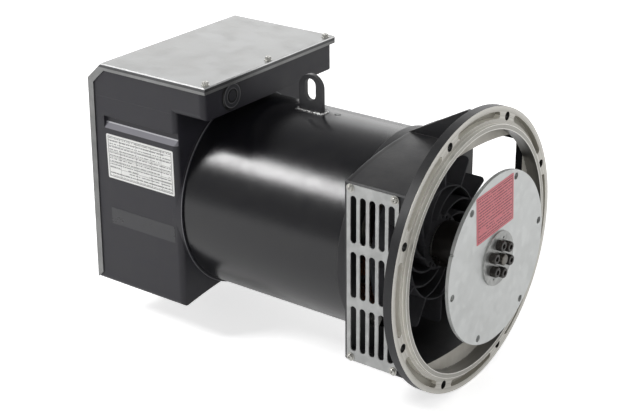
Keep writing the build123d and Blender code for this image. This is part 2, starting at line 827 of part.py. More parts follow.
    # tapped holes for the board, the regulator and the cover
    with BuildSketch(Plane.XY.offset(overhang_floor)):
        with Locations((board_x, board_y)):
            with GridLocations(0, board_row, 1, 2):
                Circle(small_screw_radius + thread_gap)
        with Locations((regulator_x, regulator_y)):
            with GridLocations(regulator_column, regulator_row, 2, 2):
                Circle(small_screw_radius + thread_gap)
    extrude(amount=-overhang_wall, mode=Mode.SUBTRACT)
    cover_screw_x = overhang_front - shield_wall / 2
    top_plane = Plane.XY.offset(cover_top)
    top_screw_places = [(cover_screw_x, row * cover_screw_offset) for row in (-1, 0, 1)]
    with BuildSketch(top_plane.offset(-rear_face_gap)):
        with Locations(top_screw_places):
            Circle(cover_screw_radius + thread_gap)
    extrude(amount=-cover_screw_length - tap_allowance, mode=Mode.SUBTRACT)
    back_normal = Vector(cover_foot_z - cover_back_z, 0, cover_back_x - cover_foot_x)
    back_plane = Plane(
        origin=(cover_foot_x, 0, cover_foot_z),
        x_dir=(0, -1, 0),
        z_dir=back_normal,
    )
    back_screw_places = [
        (-cover_screw_offset, back_screw_low),
        (cover_screw_offset, back_screw_low),
        (-cover_screw_offset, back_screw_high),
        (cover_screw_offset, back_screw_high),
    ]
    with BuildSketch(back_plane.offset(-rear_face_gap)):
        with Locations(back_screw_places):
            Circle(cover_screw_radius + thread_gap)
    extrude(amount=-cover_screw_length - tap_allowance, mode=Mode.SUBTRACT)

# the casting is kept as two nodes that meet at the terminal box's floor
box_joint = Plane.XY.offset(overhang_bottom)
with BuildPart() as rear_shield:
    add(rear_casting.part)
    split(bisect_by=box_joint, keep=Keep.BOTTOM)
finish(rear_shield, "rear_shield")

with BuildPart() as terminal_box:
    add(rear_casting.part)
    split(bisect_by=box_joint, keep=Keep.TOP)
finish(terminal_box, "terminal_box")

# ---- bearing carrier: boss on four ribs that also hold the exciter's ring ------------
rib_length = carrier_ring_outer - bearing_boss_radius
rib_middle = bearing_boss_radius + rib_length / 2 - rib_lap
with BuildPart() as bearing_carrier:
    with BuildSketch(Plane.YZ.offset(shield_inner_rear)):
        Circle(bearing_boss_radius)
    extrude(amount=bearing_boss_length)
    with BuildSketch(Plane.YZ.offset(shield_inner_rear)):
        with PolarLocations(rib_middle, rib_count, start_angle=rib_start):
            Rectangle(rib_length, rib_thickness)
    extrude(amount=carrier_ring_rear - shield_inner_rear + overlap)
    with BuildSketch(Plane.YZ.offset(carrier_ring_rear)):
        Circle(carrier_ring_outer)
        Circle(exciter_seat - exciter_shoulder, mode=Mode.SUBTRACT)
    extrude(amount=carrier_ring_front - carrier_ring_rear)
    with BuildSketch(Plane.YZ.offset(exciter_rear)):
        Circle(exciter_seat)
    extrude(amount=carrier_ring_front - exciter_rear, mode=Mode.SUBTRACT)
    with BuildSketch(Plane.YZ.offset(bearing_rear)):
        Circle(bearing_outer_radius + seat_gap)
    extrude(amount=bearing_boss_front - bearing_rear, mode=Mode.SUBTRACT)
    with BuildSketch(Plane.YZ.offset(bearing_rear)):
        Circle(boss_pocket_radius)
    extrude(amount=-boss_pocket_depth, mode=Mode.SUBTRACT)
finish(bearing_carrier, "bearing_carrier")

# ---- sheet cover: top, chamfer and back in one piece with narrow bent flanges --------
foot_corner_x = cover_foot_x + cover_sheet
foot_corner_reach = 2 * cover_flange
with BuildPart() as sheet_cover:
    with BuildSketch(Plane.XZ):
        add(cover_outline(0))
        add(cover_outline(cover_flange), mode=Mode.SUBTRACT)
        with Locations((cover_front, cover_top - cover_flange)):
            Rectangle(2 * cover_flange, far_height, align=(Align.MAX, Align.MAX), mode=Mode.SUBTRACT)
        with Locations((cover_foot_x, cover_foot_z)):
            Rectangle(2 * far_reach, far_height, align=(Align.CENTER, Align.MAX), mode=Mode.SUBTRACT)
        with BuildLine():
            Polyline(
                (foot_corner_x, cover_foot_z),
                (foot_corner_x + foot_corner_reach, cover_foot_z),
                (foot_corner_x + foot_corner_reach, cover_foot_z + foot_corner_reach),
                close=True,
            )
        make_face(mode=Mode.SUBTRACT)
    extrude(amount=cover_half_width, both=True)
    with BuildSketch(Plane.XZ):
        add(cover_outline(cover_sheet))
    extrude(amount=cover_half_width - cover_sheet, both=True, mode=Mode.SUBTRACT)
    with BuildSketch(top_plane):
        with Locations(top_screw_places):
            Circle(cover_screw_radius + loose_gap)
    extrude(amount=-cover_sheet, mode=Mode.SUBTRACT)
    with BuildSketch(back_plane):
        with Locations(back_screw_places):
            Circle(cover_screw_radius + loose_gap)
        with Locations((0, louvre_center)):
            with GridLocations(2 * vent_offset, louvre_pitch, 2, louvre_rows):
                SlotOverall(louvre_length, louvre_width)
    extrude(amount=-cover_sheet, mode=Mode.SUBTRACT)
finish(sheet_cover, "sheet_cover")

# hexagon heads on a broad collar: three along the front edge, four on the back
with BuildPart() as cover_screws:
    for face_plane, places in ((top_plane, top_screw_places), (back_plane, back_screw_places)):
        with BuildSketch(face_plane):
            with Locations(places):
                Circle(cover_screw_collar_radius)
        extrude(amount=cover_screw_collar_height)
        with BuildSketch(face_plane.offset(cover_screw_collar_height)):
            with Locations(places):
                RegularPolygon(cover_screw_head_flats / 2, 6, major_radius=False)
        extrude(amount=cover_screw_head_height - cover_screw_collar_height)
        with BuildSketch(face_plane):
            with Locations(places):
                Circle(cover_screw_radius)
        extrude(amount=-cover_screw_length)
finish(cover_screws, "cover_screws")

# ---- knockout plug, data plate -------------------------------------------------------
with BuildPart() as knockout_plug:
    with BuildSketch(Plane.YZ.offset(overhang_front)):
        with Locations((plug_y, plug_z)):
            Circle(plug_radius)
    extrude(amount=plug_height, taper=plug_slope)
    with BuildSketch(Plane.YZ.offset(overhang_front + plug_height)):
        with Locations((plug_y, plug_z)):
            Circle(plug_ring_radius)
            Circle(plug_ring_radius - plug_ring_width, mode=Mode.SUBTRACT)
    extrude(amount=-plug_height / 2, mode=Mode.SUBTRACT)
    with BuildSketch(Plane.YZ.offset(overhang_front)):
        with Locations((plug_y, plug_z)):
            Circle(plug_neck_radius)
    extrude(amount=-shield_wall)
finish(knockout_plug, "knockout_plug")

with BuildPart() as data_plate:
    with BuildSketch(Plane.XZ.offset(shield_half_width)):
        with Locations((plate_center_x, plate_center_z)):
            RectangleRounded(plate_length, plate_height, plate_corner)
    extrude(amount=plate_thickness)
finish(data_plate, "data_plate")

# ---- terminal box contents -----------------------------------------------------------
with BuildPart() as terminal_board:
    with BuildSketch(Plane.XY.offset(overhang_floor)):
        with Locations((board_x, board_y)):
            Rectangle(board_length, board_width)
            with GridLocations(0, board_row, 1, 2):
                Circle(small_screw_radius + loose_gap, mode=Mode.SUBTRACT)
            with GridLocations(0, stud_pitch, 1, stud_count):
                Circle(stud_radius + seat_gap, mode=Mode.SUBTRACT)
    extrude(amount=board_thickness)
finish(terminal_board, "terminal_board")

board_face = overhang_floor + board_thickness
with BuildPart() as terminal_studs:
    with BuildSketch(Plane.XY.offset(overhang_floor + seat_gap)):
        with Locations((board_x, board_y)):
            with GridLocations(0, stud_pitch, 1, stud_count):
                Circle(stud_radius)
    extrude(amount=board_thickness + stud_height)
finish(terminal_studs, "terminal_studs")

with BuildPart() as terminal_nuts:
    with BuildSketch(Plane.XY.offset(board_face)):
        with Locations((board_x, board_y)):
            with GridLocations(0, stud_pitch, 1, stud_count):
                RegularPolygon(nut_flats / 2, 6, major_radius=False)
                Circle(stud_radius + thread_gap, mode=Mode.SUBTRACT)
    extrude(amount=nut_height)
finish(terminal_nuts, "terminal_nuts")

with BuildPart() as voltage_regulator:
    with BuildSketch(Plane.XY.offset(overhang_floor)):
        with Locations((regulator_x, regulator_y)):
            RectangleRounded(regulator_length, regulator_width, regulator_corner)
            with GridLocations(regulator_column, regulator_row, 2, 2):
                Circle(small_screw_radius + loose_gap, mode=Mode.SUBTRACT)
    extrude(amount=regulator_height)
    with BuildSketch(Plane.XY.offset(overhang_floor + regulator_height)):
        with Locations((regulator_x, regulator_y)):
            with GridLocations(0, regulator_fin_pitch, 1, regulator_fin_count):
                Rectangle(regulator_length - 2 * regulator_fin_inset, regulator_fin_thickness)
    extrude(amount=regulator_fin_height)
finish(voltage_regulator, "voltage_regulator")

regulator_face = overhang_floor + regulator_height
with BuildPart() as box_screws:
    with BuildSketch(Plane.XY.offset(board_face)):
        with Locations((board_x, board_y)):
            with GridLocations(0, board_row, 1, 2):
                Circle(small_head_radius)
    extrude(amount=small_head_height)
    with BuildSketch(Plane.XY.offset(board_face)):
        with Locations((board_x, board_y)):
            with GridLocations(0, board_row, 1, 2):
                Circle(small_screw_radius)
    extrude(amount=-board_thickness - small_screw_reach)
    with BuildSketch(Plane.XY.offset(regulator_face)):
        with Locations((regulator_x, regulator_y)):
            with GridLocations(regulator_column, regulator_row, 2, 2):
                Circle(small_head_radius)
    extrude(amount=small_head_height)
    with BuildSketch(Plane.XY.offset(regulator_face)):
        with Locations((regulator_x, regulator_y)):
            with GridLocations(regulator_column, regulator_row, 2, 2):
                Circle(small_screw_radius)
    extrude(amount=-regulator_height - small_screw_reach)
finish(box_screws, "box_screws")

grommet_radius = lead_hole_radius - seat_gap
grommet_plane = Plane(origin=(lead_hole_x, lead_hole_y, 0), x_dir=(1, 0, 0), z_dir=(0, -1, 0))
with BuildPart() as lead_grommet:
    with BuildSketch(grommet_plane):
        with BuildLine():
            Polyline(
                (grommet_radius - grommet_wall, overhang_bottom - grommet_lip_height),
                (lead_hole_radius + grommet_lip, overhang_bottom - grommet_lip_height),
                (lead_hole_radius + grommet_lip, overhang_bottom),
                (grommet_radius, overhang_bottom),
                (grommet_radius, overhang_floor),
                (lead_hole_radius + grommet_lip, overhang_floor),
                (lead_hole_radius + grommet_lip, overhang_floor + grommet_lip_height),
                (grommet_radius - grommet_wall, overhang_floor + grommet_lip_height),
                close=True,
            )
        make_face()
    revolve(axis=Axis(origin=(lead_hole_x, lead_hole_y, 0), direction=(0, 0, 1)))
finish(lead_grommet, "lead_grommet")

# ---- exciter stator: yoke with inward poles, one coil on each ------------------------
with BuildPart() as exciter_stator:
    with BuildSketch(Plane.YZ.offset(exciter_rear)):
        Circle(exciter_radius)
        Circle(exciter_radius - exciter_yoke, mode=Mode.SUBTRACT)
        pole_reach = exciter_radius - exciter_yoke / 2 - exciter_bore
        with PolarLocations(exciter_bore + pole_reach / 2, exciter_pole_count):
            Rectangle(pole_reach, exciter_pole_width)
        Circle(exciter_bore, mode=Mode.SUBTRACT)
    extrude(amount=exciter_length)
finish(exciter_stator, "exciter_stator")

with BuildPart() as exciter_coils:
    for pole in range(exciter_pole_count):
        pole_plane = Plane.XY.rotated((360 / exciter_pole_count * pole, 0, 0))
        with BuildSketch(pole_plane.offset(exciter_coil_seat)):
            with Locations(((exciter_rear + exciter_front) / 2, 0)):
                inner_length = exciter_length + 2 * loose_gap
                inner_width = exciter_pole_width + 2 * loose_gap
                RectangleRounded(
                    inner_length + 2 * exciter_coil_width,
                    inner_width + 2 * exciter_coil_width,
                    exciter_coil_corner,
                )
                Rectangle(inner_length, inner_width, mode=Mode.SUBTRACT)
        extrude(amount=exciter_coil_height)
finish(exciter_coils, "exciter_coils")

# ---- shaft: one turned piece from the rear bearing to the coupling hub ---------------
circlip_rear = bearing_rear - circlip_thickness
with BuildPart() as shaft:
    with BuildSketch(Plane.XZ):
        with BuildLine():
            Polyline(
                (shaft_rear, 0),
                (shaft_rear, bearing_seat_radius),
                (circlip_rear, bearing_seat_radius),
                (circlip_rear, bearing_seat_radius - circlip_depth),
                (bearing_rear, bearing_seat_radius - circlip_depth),
                (bearing_rear, bearing_seat_radius),
                (bearing_front, bearing_seat_radius),
                (bearing_front, exciter_seat_radius),
                (core_seat_rear, exciter_seat_radius),
                (core_seat_rear, core_seat_radius),
                (core_front, core_seat_radius),
                (core_front, shoulder_radius),
                (core_front + shoulder_length, shoulder_radius),
                (core_front + shoulder_length, fan_shoulder_radius),
                (fan_back, fan_shoulder_radius),
                (fan_back, fan_seat_radius),
                (fan_seat_front, fan_seat_radius),
                (fan_seat_front, hub_seat_radius),
                (shaft_front, hub_seat_radius),
                (shaft_front, 0),
                close=True,
            )
        make_face()
    revolve(axis=Axis.X)
    with BuildSketch(Plane.YZ.offset(shaft_front)):
        Circle(center_bolt_radius + thread_gap)
    extrude(amount=clamp_face - center_bolt_length - shaft_front - center_tap_allowance, mode=Mode.SUBTRACT)
finish(shaft, "shaft")

# ---- main rotor: salient-pole core with a coil round each pole -----------------------
with BuildPart() as rotor_core:
    with BuildSketch(Plane.YZ.offset(core_rear)):
        Circle(rotor_hub_radius)
        with PolarLocations(pole_shoe_foot / 2, pole_count):
            Rectangle(pole_shoe_foot, pole_width)
        with PolarLocations((pole_shoe_foot + rotor_radius) / 2, pole_count):
            Rectangle(rotor_radius - pole_shoe_foot, pole_shoe_width)
        Circle(rotor_radius, mode=Mode.INTERSECT)
        Circle(core_seat_radius + seat_gap, mode=Mode.SUBTRACT)
    extrude(amount=core_length)
finish(rotor_core, "rotor_core")

with BuildPart() as rotor_winding:
    for pole in range(pole_count):
        pole_plane = Plane.XY.rotated((360 / pole_count * pole, 0, 0))
        with BuildSketch(pole_plane.offset(coil_inner)):
            with Locations(((core_front + core_rear) / 2, 0)):
                inner_length = core_length + 2 * loose_gap
                inner_width = pole_width + 2 * loose_gap
                RectangleRounded(
                    inner_length + 2 * coil_width,
                    inner_width + 2 * coil_width,
                    coil_corner,
                )
                Rectangle(inner_length, inner_width, mode=Mode.SUBTRACT)
        extrude(amount=coil_height)
finish(rotor_winding, "rotor_winding")

# ---- fan: hub, curved vanes out to a ring, flat paddles beyond it --------------------
vane_root = polar(fan_hub_radius - overlap, fan_vane_root_turn)
vane_middle = polar(fan_vane_mid_radius, fan_vane_mid_turn)
vane_tip = polar(fan_ring_radius - fan_ring_wall / 2, 0)
vane_line = ThreePointArc(vane_root, vane_middle, vane_tip)
with BuildPart() as fan:
    with BuildSketch(Plane.YZ.offset(fan_back)):
        Circle(fan_hub_radius)
        Circle(fan_seat_radius + seat_gap, mode=Mode.SUBTRACT)
    extrude(amount=fan_hub_front - fan_back)
    with BuildSketch(Plane.YZ.offset(fan_back)):
        Circle(fan_radius)
        Circle(fan_ring_radius - fan_ring_wall, mode=Mode.SUBTRACT)
    extrude(amount=fan_plate_thickness)
    with BuildSketch(Plane.YZ.offset(fan_back)):
        Circle(fan_ring_radius)
        Circle(fan_ring_radius - fan_ring_wall, mode=Mode.SUBTRACT)
    extrude(amount=fan_front - fan_back)
    with BuildSketch(Plane.YZ.offset(fan_back)):
        with PolarLocations(0, fan_blade_count, start_angle=fan_blade_start):
            SlotArc(arc=vane_line, height=fan_blade_thickness)
        Circle(fan_hub_radius - overlap, mode=Mode.SUBTRACT)
        Circle(fan_ring_radius - fan_ring_wall / 2, mode=Mode.INTERSECT)
    extrude(amount=fan_front - fan_vane_setback - fan_back)
    # paddles stand on the plate outside the ring, with their outer front corner rounded
    paddle_foot = fan_ring_radius - fan_ring_wall / 2
    for blade in range(fan_blade_count):
        blade_turn = fan_blade_start + blade * 360 / fan_blade_count
        blade_plane = Plane(
            origin=(fan_back, 0, 0),
            x_dir=(0, *polar(1, blade_turn)),
            z_dir=(0, *polar(1, blade_turn + 90)),
        )
        with BuildSketch(blade_plane) as paddle:
            with Locations((paddle_foot, 0)):
                Rectangle(fan_radius - paddle_foot, fan_depth, align=(Align.MIN, Align.MAX))
            front_corner = paddle.vertices().group_by(Axis.X)[-1].sort_by(Axis.Y)[0]
            fillet(front_corner, radius=fan_blade_corner)
        extrude(amount=fan_blade_thickness / 2, both=True)
    with BuildSketch(Plane.YZ.offset(fan_hub_front)):
        for group in range(fan_hole_groups):
            hole_start = fan_hole_start - fan_hole_spacing + 360 / fan_hole_groups * group
            with PolarLocations(
                fan_hole_circle,
                fan_hole_group_size,
                hole_start,
                (fan_hole_group_size - 1) * fan_hole_spacing,
                endpoint=True,
            ):
                Circle(fan_hole_radius)
    extrude(amount=-fan_hole_depth, mode=Mode.SUBTRACT)
finish(fan, "fan")

# ---- exciter rotor and its rectifier -------------------------------------------------
with BuildPart() as exciter_rotor:
    with BuildSketch(Plane.YZ.offset(exciter_rear)):
        Circle(exciter_rotor_radius)
        Circle(exciter_seat_radius + seat_gap, mode=Mode.SUBTRACT)
        with PolarLocations(exciter_rotor_radius, exciter_slot_count):
            Rectangle(2 * exciter_slot_depth, exciter_slot_width, mode=Mode.SUBTRACT)
    extrude(amount=exciter_length)
finish(exciter_rotor, "exciter_rotor")

with BuildPart() as exciter_rotor_winding:
    with BuildSketch(Plane.XZ):
        winding_middle = (exciter_winding_inner + exciter_winding_outer) / 2
        winding_height = exciter_winding_outer - exciter_winding_inner
        with Locations(
            (exciter_front + exciter_winding_length / 2 + seat_gap, winding_middle),
            (exciter_rear - exciter_winding_length / 2 - seat_gap, winding_middle),
        ):
            add(bevelled_band(exciter_winding_length, winding_height, exciter_winding_bevel))
    revolve(axis=Axis.X)
finish(exciter_rotor_winding, "exciter_rotor_winding")

with BuildPart() as rectifier_plate:
    with BuildSketch(Plane.YZ.offset(rectifier_front - rectifier_thickness)):
        Circle(rectifier_radius)
        Circle(exciter_seat_radius + seat_gap, mode=Mode.SUBTRACT)
    extrude(amount=rectifier_thickness)
finish(rectifier_plate, "rectifier_plate")

with BuildPart() as rectifier_diodes:
    with BuildSketch(Plane.YZ.offset(rectifier_front)):
        with PolarLocations(diode_circle, diode_count):
            Circle(diode_radius)
    extrude(amount=diode_height)
finish(rectifier_diodes, "rectifier_diodes")

# ---- rear bearing: races, balls, cage and circlip ------------------------------------
bearing_middle = bearing_rear + bearing_width / 2
ball_circle = (bearing_seat_radius + bearing_outer_radius) / 2
with BuildPart() as bearing_outer_race:
    with BuildSketch(Plane.XZ):
        with Locations((bearing_middle, bearing_outer_radius - race_wall / 2)):
            Rectangle(bearing_width, race_wall)
        with Locations((bearing_middle, ball_circle)):
            Circle(ball_radius + ball_gap, mode=Mode.SUBTRACT)
    revolve(axis=Axis.X)
finish(bearing_outer_race, "bearing_outer_race")

with BuildPart() as bearing_inner_race:
    with BuildSketch(Plane.XZ):
        inner_race_bore = bearing_seat_radius + seat_gap
        inner_race_top = bearing_seat_radius + race_wall
        with Locations((bearing_middle, (inner_race_bore + inner_race_top) / 2)):
            Rectangle(bearing_width, inner_race_top - inner_race_bore)
        with Locations((bearing_middle, ball_circle)):
            Circle(ball_radius + ball_gap, mode=Mode.SUBTRACT)
    revolve(axis=Axis.X)
finish(bearing_inner_race, "bearing_inner_race")

with BuildPart() as bearing_balls:
    for ball in range(ball_count):
        ball_plane = Plane.XY.rotated((360 / ball_count * ball, 0, 0)).offset(ball_circle)
        with Locations(ball_plane * Location((bearing_middle, 0, 0))):
            Sphere(ball_radius)
finish(bearing_balls, "bearing_balls")

with BuildPart() as bearing_cage:
    with BuildSketch(Plane.YZ.offset(bearing_middle - cage_width / 2)):
        Circle(ball_circle + cage_thickness / 2)
        Circle(ball_circle - cage_thickness / 2, mode=Mode.SUBTRACT)
    extrude(amount=cage_width)
    for ball in range(ball_count):
        pocket_plane = Plane.XY.rotated((360 / ball_count * ball, 0, 0))
        with BuildSketch(pocket_plane):
            with Locations((bearing_middle, 0)):
                Circle(ball_radius + seat_gap)
        extrude(amount=bearing_outer_radius, mode=Mode.SUBTRACT)
finish(bearing_cage, "bearing_cage")

with BuildPart() as bearing_circlip:
    with BuildSketch(Plane.YZ.offset(circlip_rear + seat_gap / 2)):
        Circle(circlip_radius)
        Circle(bearing_seat_radius - circlip_depth + seat_gap, mode=Mode.SUBTRACT)
        with Locations((0, circlip_radius)):
            Rectangle(circlip_opening, circlip_radius, mode=Mode.SUBTRACT)
    extrude(amount=circlip_thickness - seat_gap)
finish(bearing_circlip, "bearing_circlip")

# ---- coupling: hub, flexible discs, clamp ring, screws and centre bolt ---------------
with BuildPart() as coupling_hub:
    with BuildSketch(Plane.XZ):
        with BuildLine():
            Polyline(
                (hub_rear, hub_seat_radius + seat_gap),
                (hub_rear, hub_neck_radius),
                (disc_rear - hub_flange_thickness, hub_neck_radius),
                (disc_rear - hub_flange_thickness, hub_flange_radius),
                (disc_rear, hub_flange_radius),
                (disc_rear, center_bolt_radius + seat_gap),
                (hub_web_rear, center_bolt_radius + seat_gap),
                (hub_web_rear, hub_seat_radius + seat_gap),
                close=True,
            )
        make_face()
    revolve(axis=Axis.X)
    with BuildSketch(Plane.YZ.offset(disc_rear)):
        with PolarLocations(hub_screw_circle, hub_screw_count, start_angle=hub_screw_start):
            Circle(hub_screw_radius + thread_gap)
    extrude(amount=-hub_screw_tap_depth, mode=Mode.SUBTRACT)
finish(coupling_hub, "coupling_hub")

with BuildPart() as drive_discs:
    for layer in range(disc_count):
        with BuildSketch(Plane.YZ.offset(disc_rear + layer * (disc_thickness + disc_gap))):
            Circle(disc_radius)
            Circle(center_bolt_radius + seat_gap, mode=Mode.SUBTRACT)
            with PolarLocations(disc_bolt_circle / 2, disc_bolt_count, start_angle=disc_hole_start):
                Circle(disc_hole_radius, mode=Mode.SUBTRACT)
            with PolarLocations(hub_screw_circle, hub_screw_count, start_angle=hub_screw_start):
                Circle(hub_screw_radius + seat_gap, mode=Mode.SUBTRACT)
            with Locations(polar(disc_radius, disc_notch_angle)):
                Circle(disc_notch_radius, mode=Mode.SUBTRACT)
        extrude(amount=disc_thickness)
finish(drive_discs, "drive_discs")

with BuildPart() as clamp_ring:
    with BuildSketch(Plane.YZ.offset(disc_face)):
        Circle(clamp_radius)
        Circle(center_bolt_radius + seat_gap, mode=Mode.SUBTRACT)
        with PolarLocations(hub_screw_circle, hub_screw_count, start_angle=hub_screw_start):
            Circle(hub_screw_radius + seat_gap, mode=Mode.SUBTRACT)
        with PolarLocations(clamp_pin_circle, 2, start_angle=clamp_pin_angle):
            Circle(clamp_pin_radius, mode=Mode.SUBTRACT)
    extrude(amount=clamp_thickness)
finish(clamp_ring, "clamp_ring")

with BuildPart() as hub_screws:
    with BuildSketch(Plane.YZ.offset(clamp_face)):
        with PolarLocations(hub_screw_circle, hub_screw_count, start_angle=hub_screw_start):
            Circle(hub_screw_head_radius)
    extrude(amount=hub_screw_head_height)
    head_rims = hub_screws.edges().group_by(Axis.X)[-1]
    chamfer(head_rims, length=hub_screw_head_bevel)
    with BuildSketch(Plane.YZ.offset(clamp_face + hub_screw_head_height)):
        with PolarLocations(hub_screw_circle, hub_screw_count, start_angle=hub_screw_start):
            RegularPolygon(hub_screw_socket / 2, 6, major_radius=False)
    extrude(amount=-hub_screw_socket_depth, mode=Mode.SUBTRACT)
    with BuildSketch(Plane.YZ.offset(clamp_face)):
        with PolarLocations(hub_screw_circle, hub_screw_count, start_angle=hub_screw_start):
            Circle(hub_screw_radius)
    extrude(amount=-hub_screw_length)
finish(hub_screws, "hub_screws")

with BuildPart() as center_bolt:
    with BuildSketch(Plane.YZ.offset(clamp_face)):
        Circle(center_bolt_head_radius)
    extrude(amount=center_bolt_head_height)
    chamfer(center_bolt.edges().group_by(Axis.X)[-1], length=center_bolt_head_bevel)
    with BuildSketch(Plane.YZ.offset(clamp_face)):
        Circle(center_bolt_radius)
    extrude(amount=-center_bolt_length)
finish(center_bolt, "center_bolt")

with BuildPart() as disc_label:
    with BuildSketch(Plane.YZ.offset(disc_face)):
        with Locations(Location((label_center_y, label_center_z, 0), (0, 0, label_turn))):
            RectangleRounded(label_width, label_height, label_corner)
    extrude(amount=label_thickness)
finish(disc_label, "disc_label")
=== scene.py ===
"""Looks of a generator alternator head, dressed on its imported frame.

Lengths are in metres unless a name says otherwise. X is the shaft axis with the
drive end at +X, Z is up, and the origin is the centre of the flange's face.
A colour written as six hexadecimal digits is a display colour.
"""
from __future__ import annotations

import json
import logging
import math
from collections.abc import Callable, Sequence
from dataclasses import dataclass
from enum import Enum
from typing import ClassVar

import bmesh
import bpy
from mathutils import Matrix, Vector

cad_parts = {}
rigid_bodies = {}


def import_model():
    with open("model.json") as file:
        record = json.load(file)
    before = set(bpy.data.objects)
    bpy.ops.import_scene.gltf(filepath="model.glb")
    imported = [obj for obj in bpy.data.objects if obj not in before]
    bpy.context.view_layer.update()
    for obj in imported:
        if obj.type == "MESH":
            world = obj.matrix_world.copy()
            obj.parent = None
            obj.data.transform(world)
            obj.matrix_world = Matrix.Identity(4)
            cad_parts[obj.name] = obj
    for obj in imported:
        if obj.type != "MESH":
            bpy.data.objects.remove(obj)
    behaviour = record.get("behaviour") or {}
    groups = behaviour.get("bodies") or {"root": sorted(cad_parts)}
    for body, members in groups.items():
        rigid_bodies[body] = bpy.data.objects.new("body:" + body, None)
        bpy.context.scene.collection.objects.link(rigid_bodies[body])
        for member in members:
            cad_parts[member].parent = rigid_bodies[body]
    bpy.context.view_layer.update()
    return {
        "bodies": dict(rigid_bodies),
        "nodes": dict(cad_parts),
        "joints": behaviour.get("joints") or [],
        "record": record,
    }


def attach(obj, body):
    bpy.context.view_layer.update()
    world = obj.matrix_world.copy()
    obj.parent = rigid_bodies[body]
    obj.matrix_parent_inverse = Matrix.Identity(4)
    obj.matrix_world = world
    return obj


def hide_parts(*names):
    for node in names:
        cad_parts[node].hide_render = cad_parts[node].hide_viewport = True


LOG = logging.getLogger("alternator_head")
MM = 0.001
FULL_TURN = 2 * math.pi
WHITE = (1.0, 1.0, 1.0)

Pair = tuple[float, float]
Triple = tuple[float, float, float]
Socket = bpy.types.NodeSocket
Material = bpy.types.Material
Mesh = bmesh.types.BMesh
Inputs = dict[str | int, object]


class Body(Enum):
    """Rigid bodies that a piece can ride on."""

    HOUSING = "housing"
    ROTOR = "rotor"


class Slot(Enum):
    """The record's material slots named for the pieces made here; the script does not give them to
    the pieces.
    """

    STEEL = "bright_steel"
    OXIDE = "black_oxide"
    PLASTIC = "grey_plastic"


class Outline(Enum):
    """Shape of one level of a screw's head, seen from above."""

    ROUND = "round"
    KNURL = "knurl"
    HEXAGON = "hexagon"
    CROSS = "cross"


def tone(code: str) -> Triple:
    """Turn a display colour's six hexadecimal digits into linear light."""
    shares = [int(code[index : index + 2], 16) / 255 for index in (0, 2, 4)]
    red, green, blue = (
        share / 12.92 if share <= 0.04045 else ((share + 0.055) / 1.055) ** 2.4 for share in shares
    )
    return (red, green, blue)


# ---- node building ----


def operator(operation: str) -> Callable[..., Field]:
    """Make a field's operator out of a Math node's operation."""

    def result(self: Field, other: Value = 0.0) -> Field:
        """Add the node and give its result."""
        return self.graph.field("Math", 0, {0: self, 1: other}, operation=operation)

    return result


@dataclass(frozen=True, eq=False)
class Field:
    """A node's output, worked with like a number; every operator adds a node."""

    graph: Graph
    socket: Socket

    __add__ = operator("ADD")
    __sub__ = operator("SUBTRACT")
    __mul__ = operator("MULTIPLY")
    __truediv__ = operator("DIVIDE")
    __gt__ = operator("GREATER_THAN")
    __lt__ = operator("LESS_THAN")
    __or__ = operator("MAXIMUM")
    __abs__ = operator("ABSOLUTE")
    angle_from = operator("ARCTAN2")
    floor = operator("FLOOR")
    fraction = operator("FRACT")
    sine = operator("SINE")
    root = operator("SQRT")

    def __rsub__(self, other: float) -> Field:
        """Difference from a number."""
        return self.graph.field("Math", 0, {0: other, 1: self}, operation="SUBTRACT")

    def clamped(self) -> Field:
        """Hold the Math node's result between 0 and 1."""
        self.socket.node.use_clamp = True
        return self

    def inside(self, low: float, high: float) -> Field:
        """Give 1 between two numbers and 0 elsewhere."""
        return (self > low) * (self < high)

    def remap(self, low: float, high: float, to_low: float = 0.0, to_high: float = 1.0) -> Field:
        """Map one range of values onto another, held within its ends."""
        return self.graph.field("MapRange", 0, {0: self, 1: low, 2: high, 3: to_low, 4: to_high})

    def around(self, middle: float, less: float, more: float) -> Field:
        """Map 0 to 1 onto a range about a middle value."""
        return self.remap(0.0, 1.0, middle - less, middle + more)

    def tint(self, share: Value, color: object) -> Field:
        """Mix this colour with another by a share."""
        return self.graph.mix(share, self, color)


Value = float | Field
Fields = tuple[Field, ...]


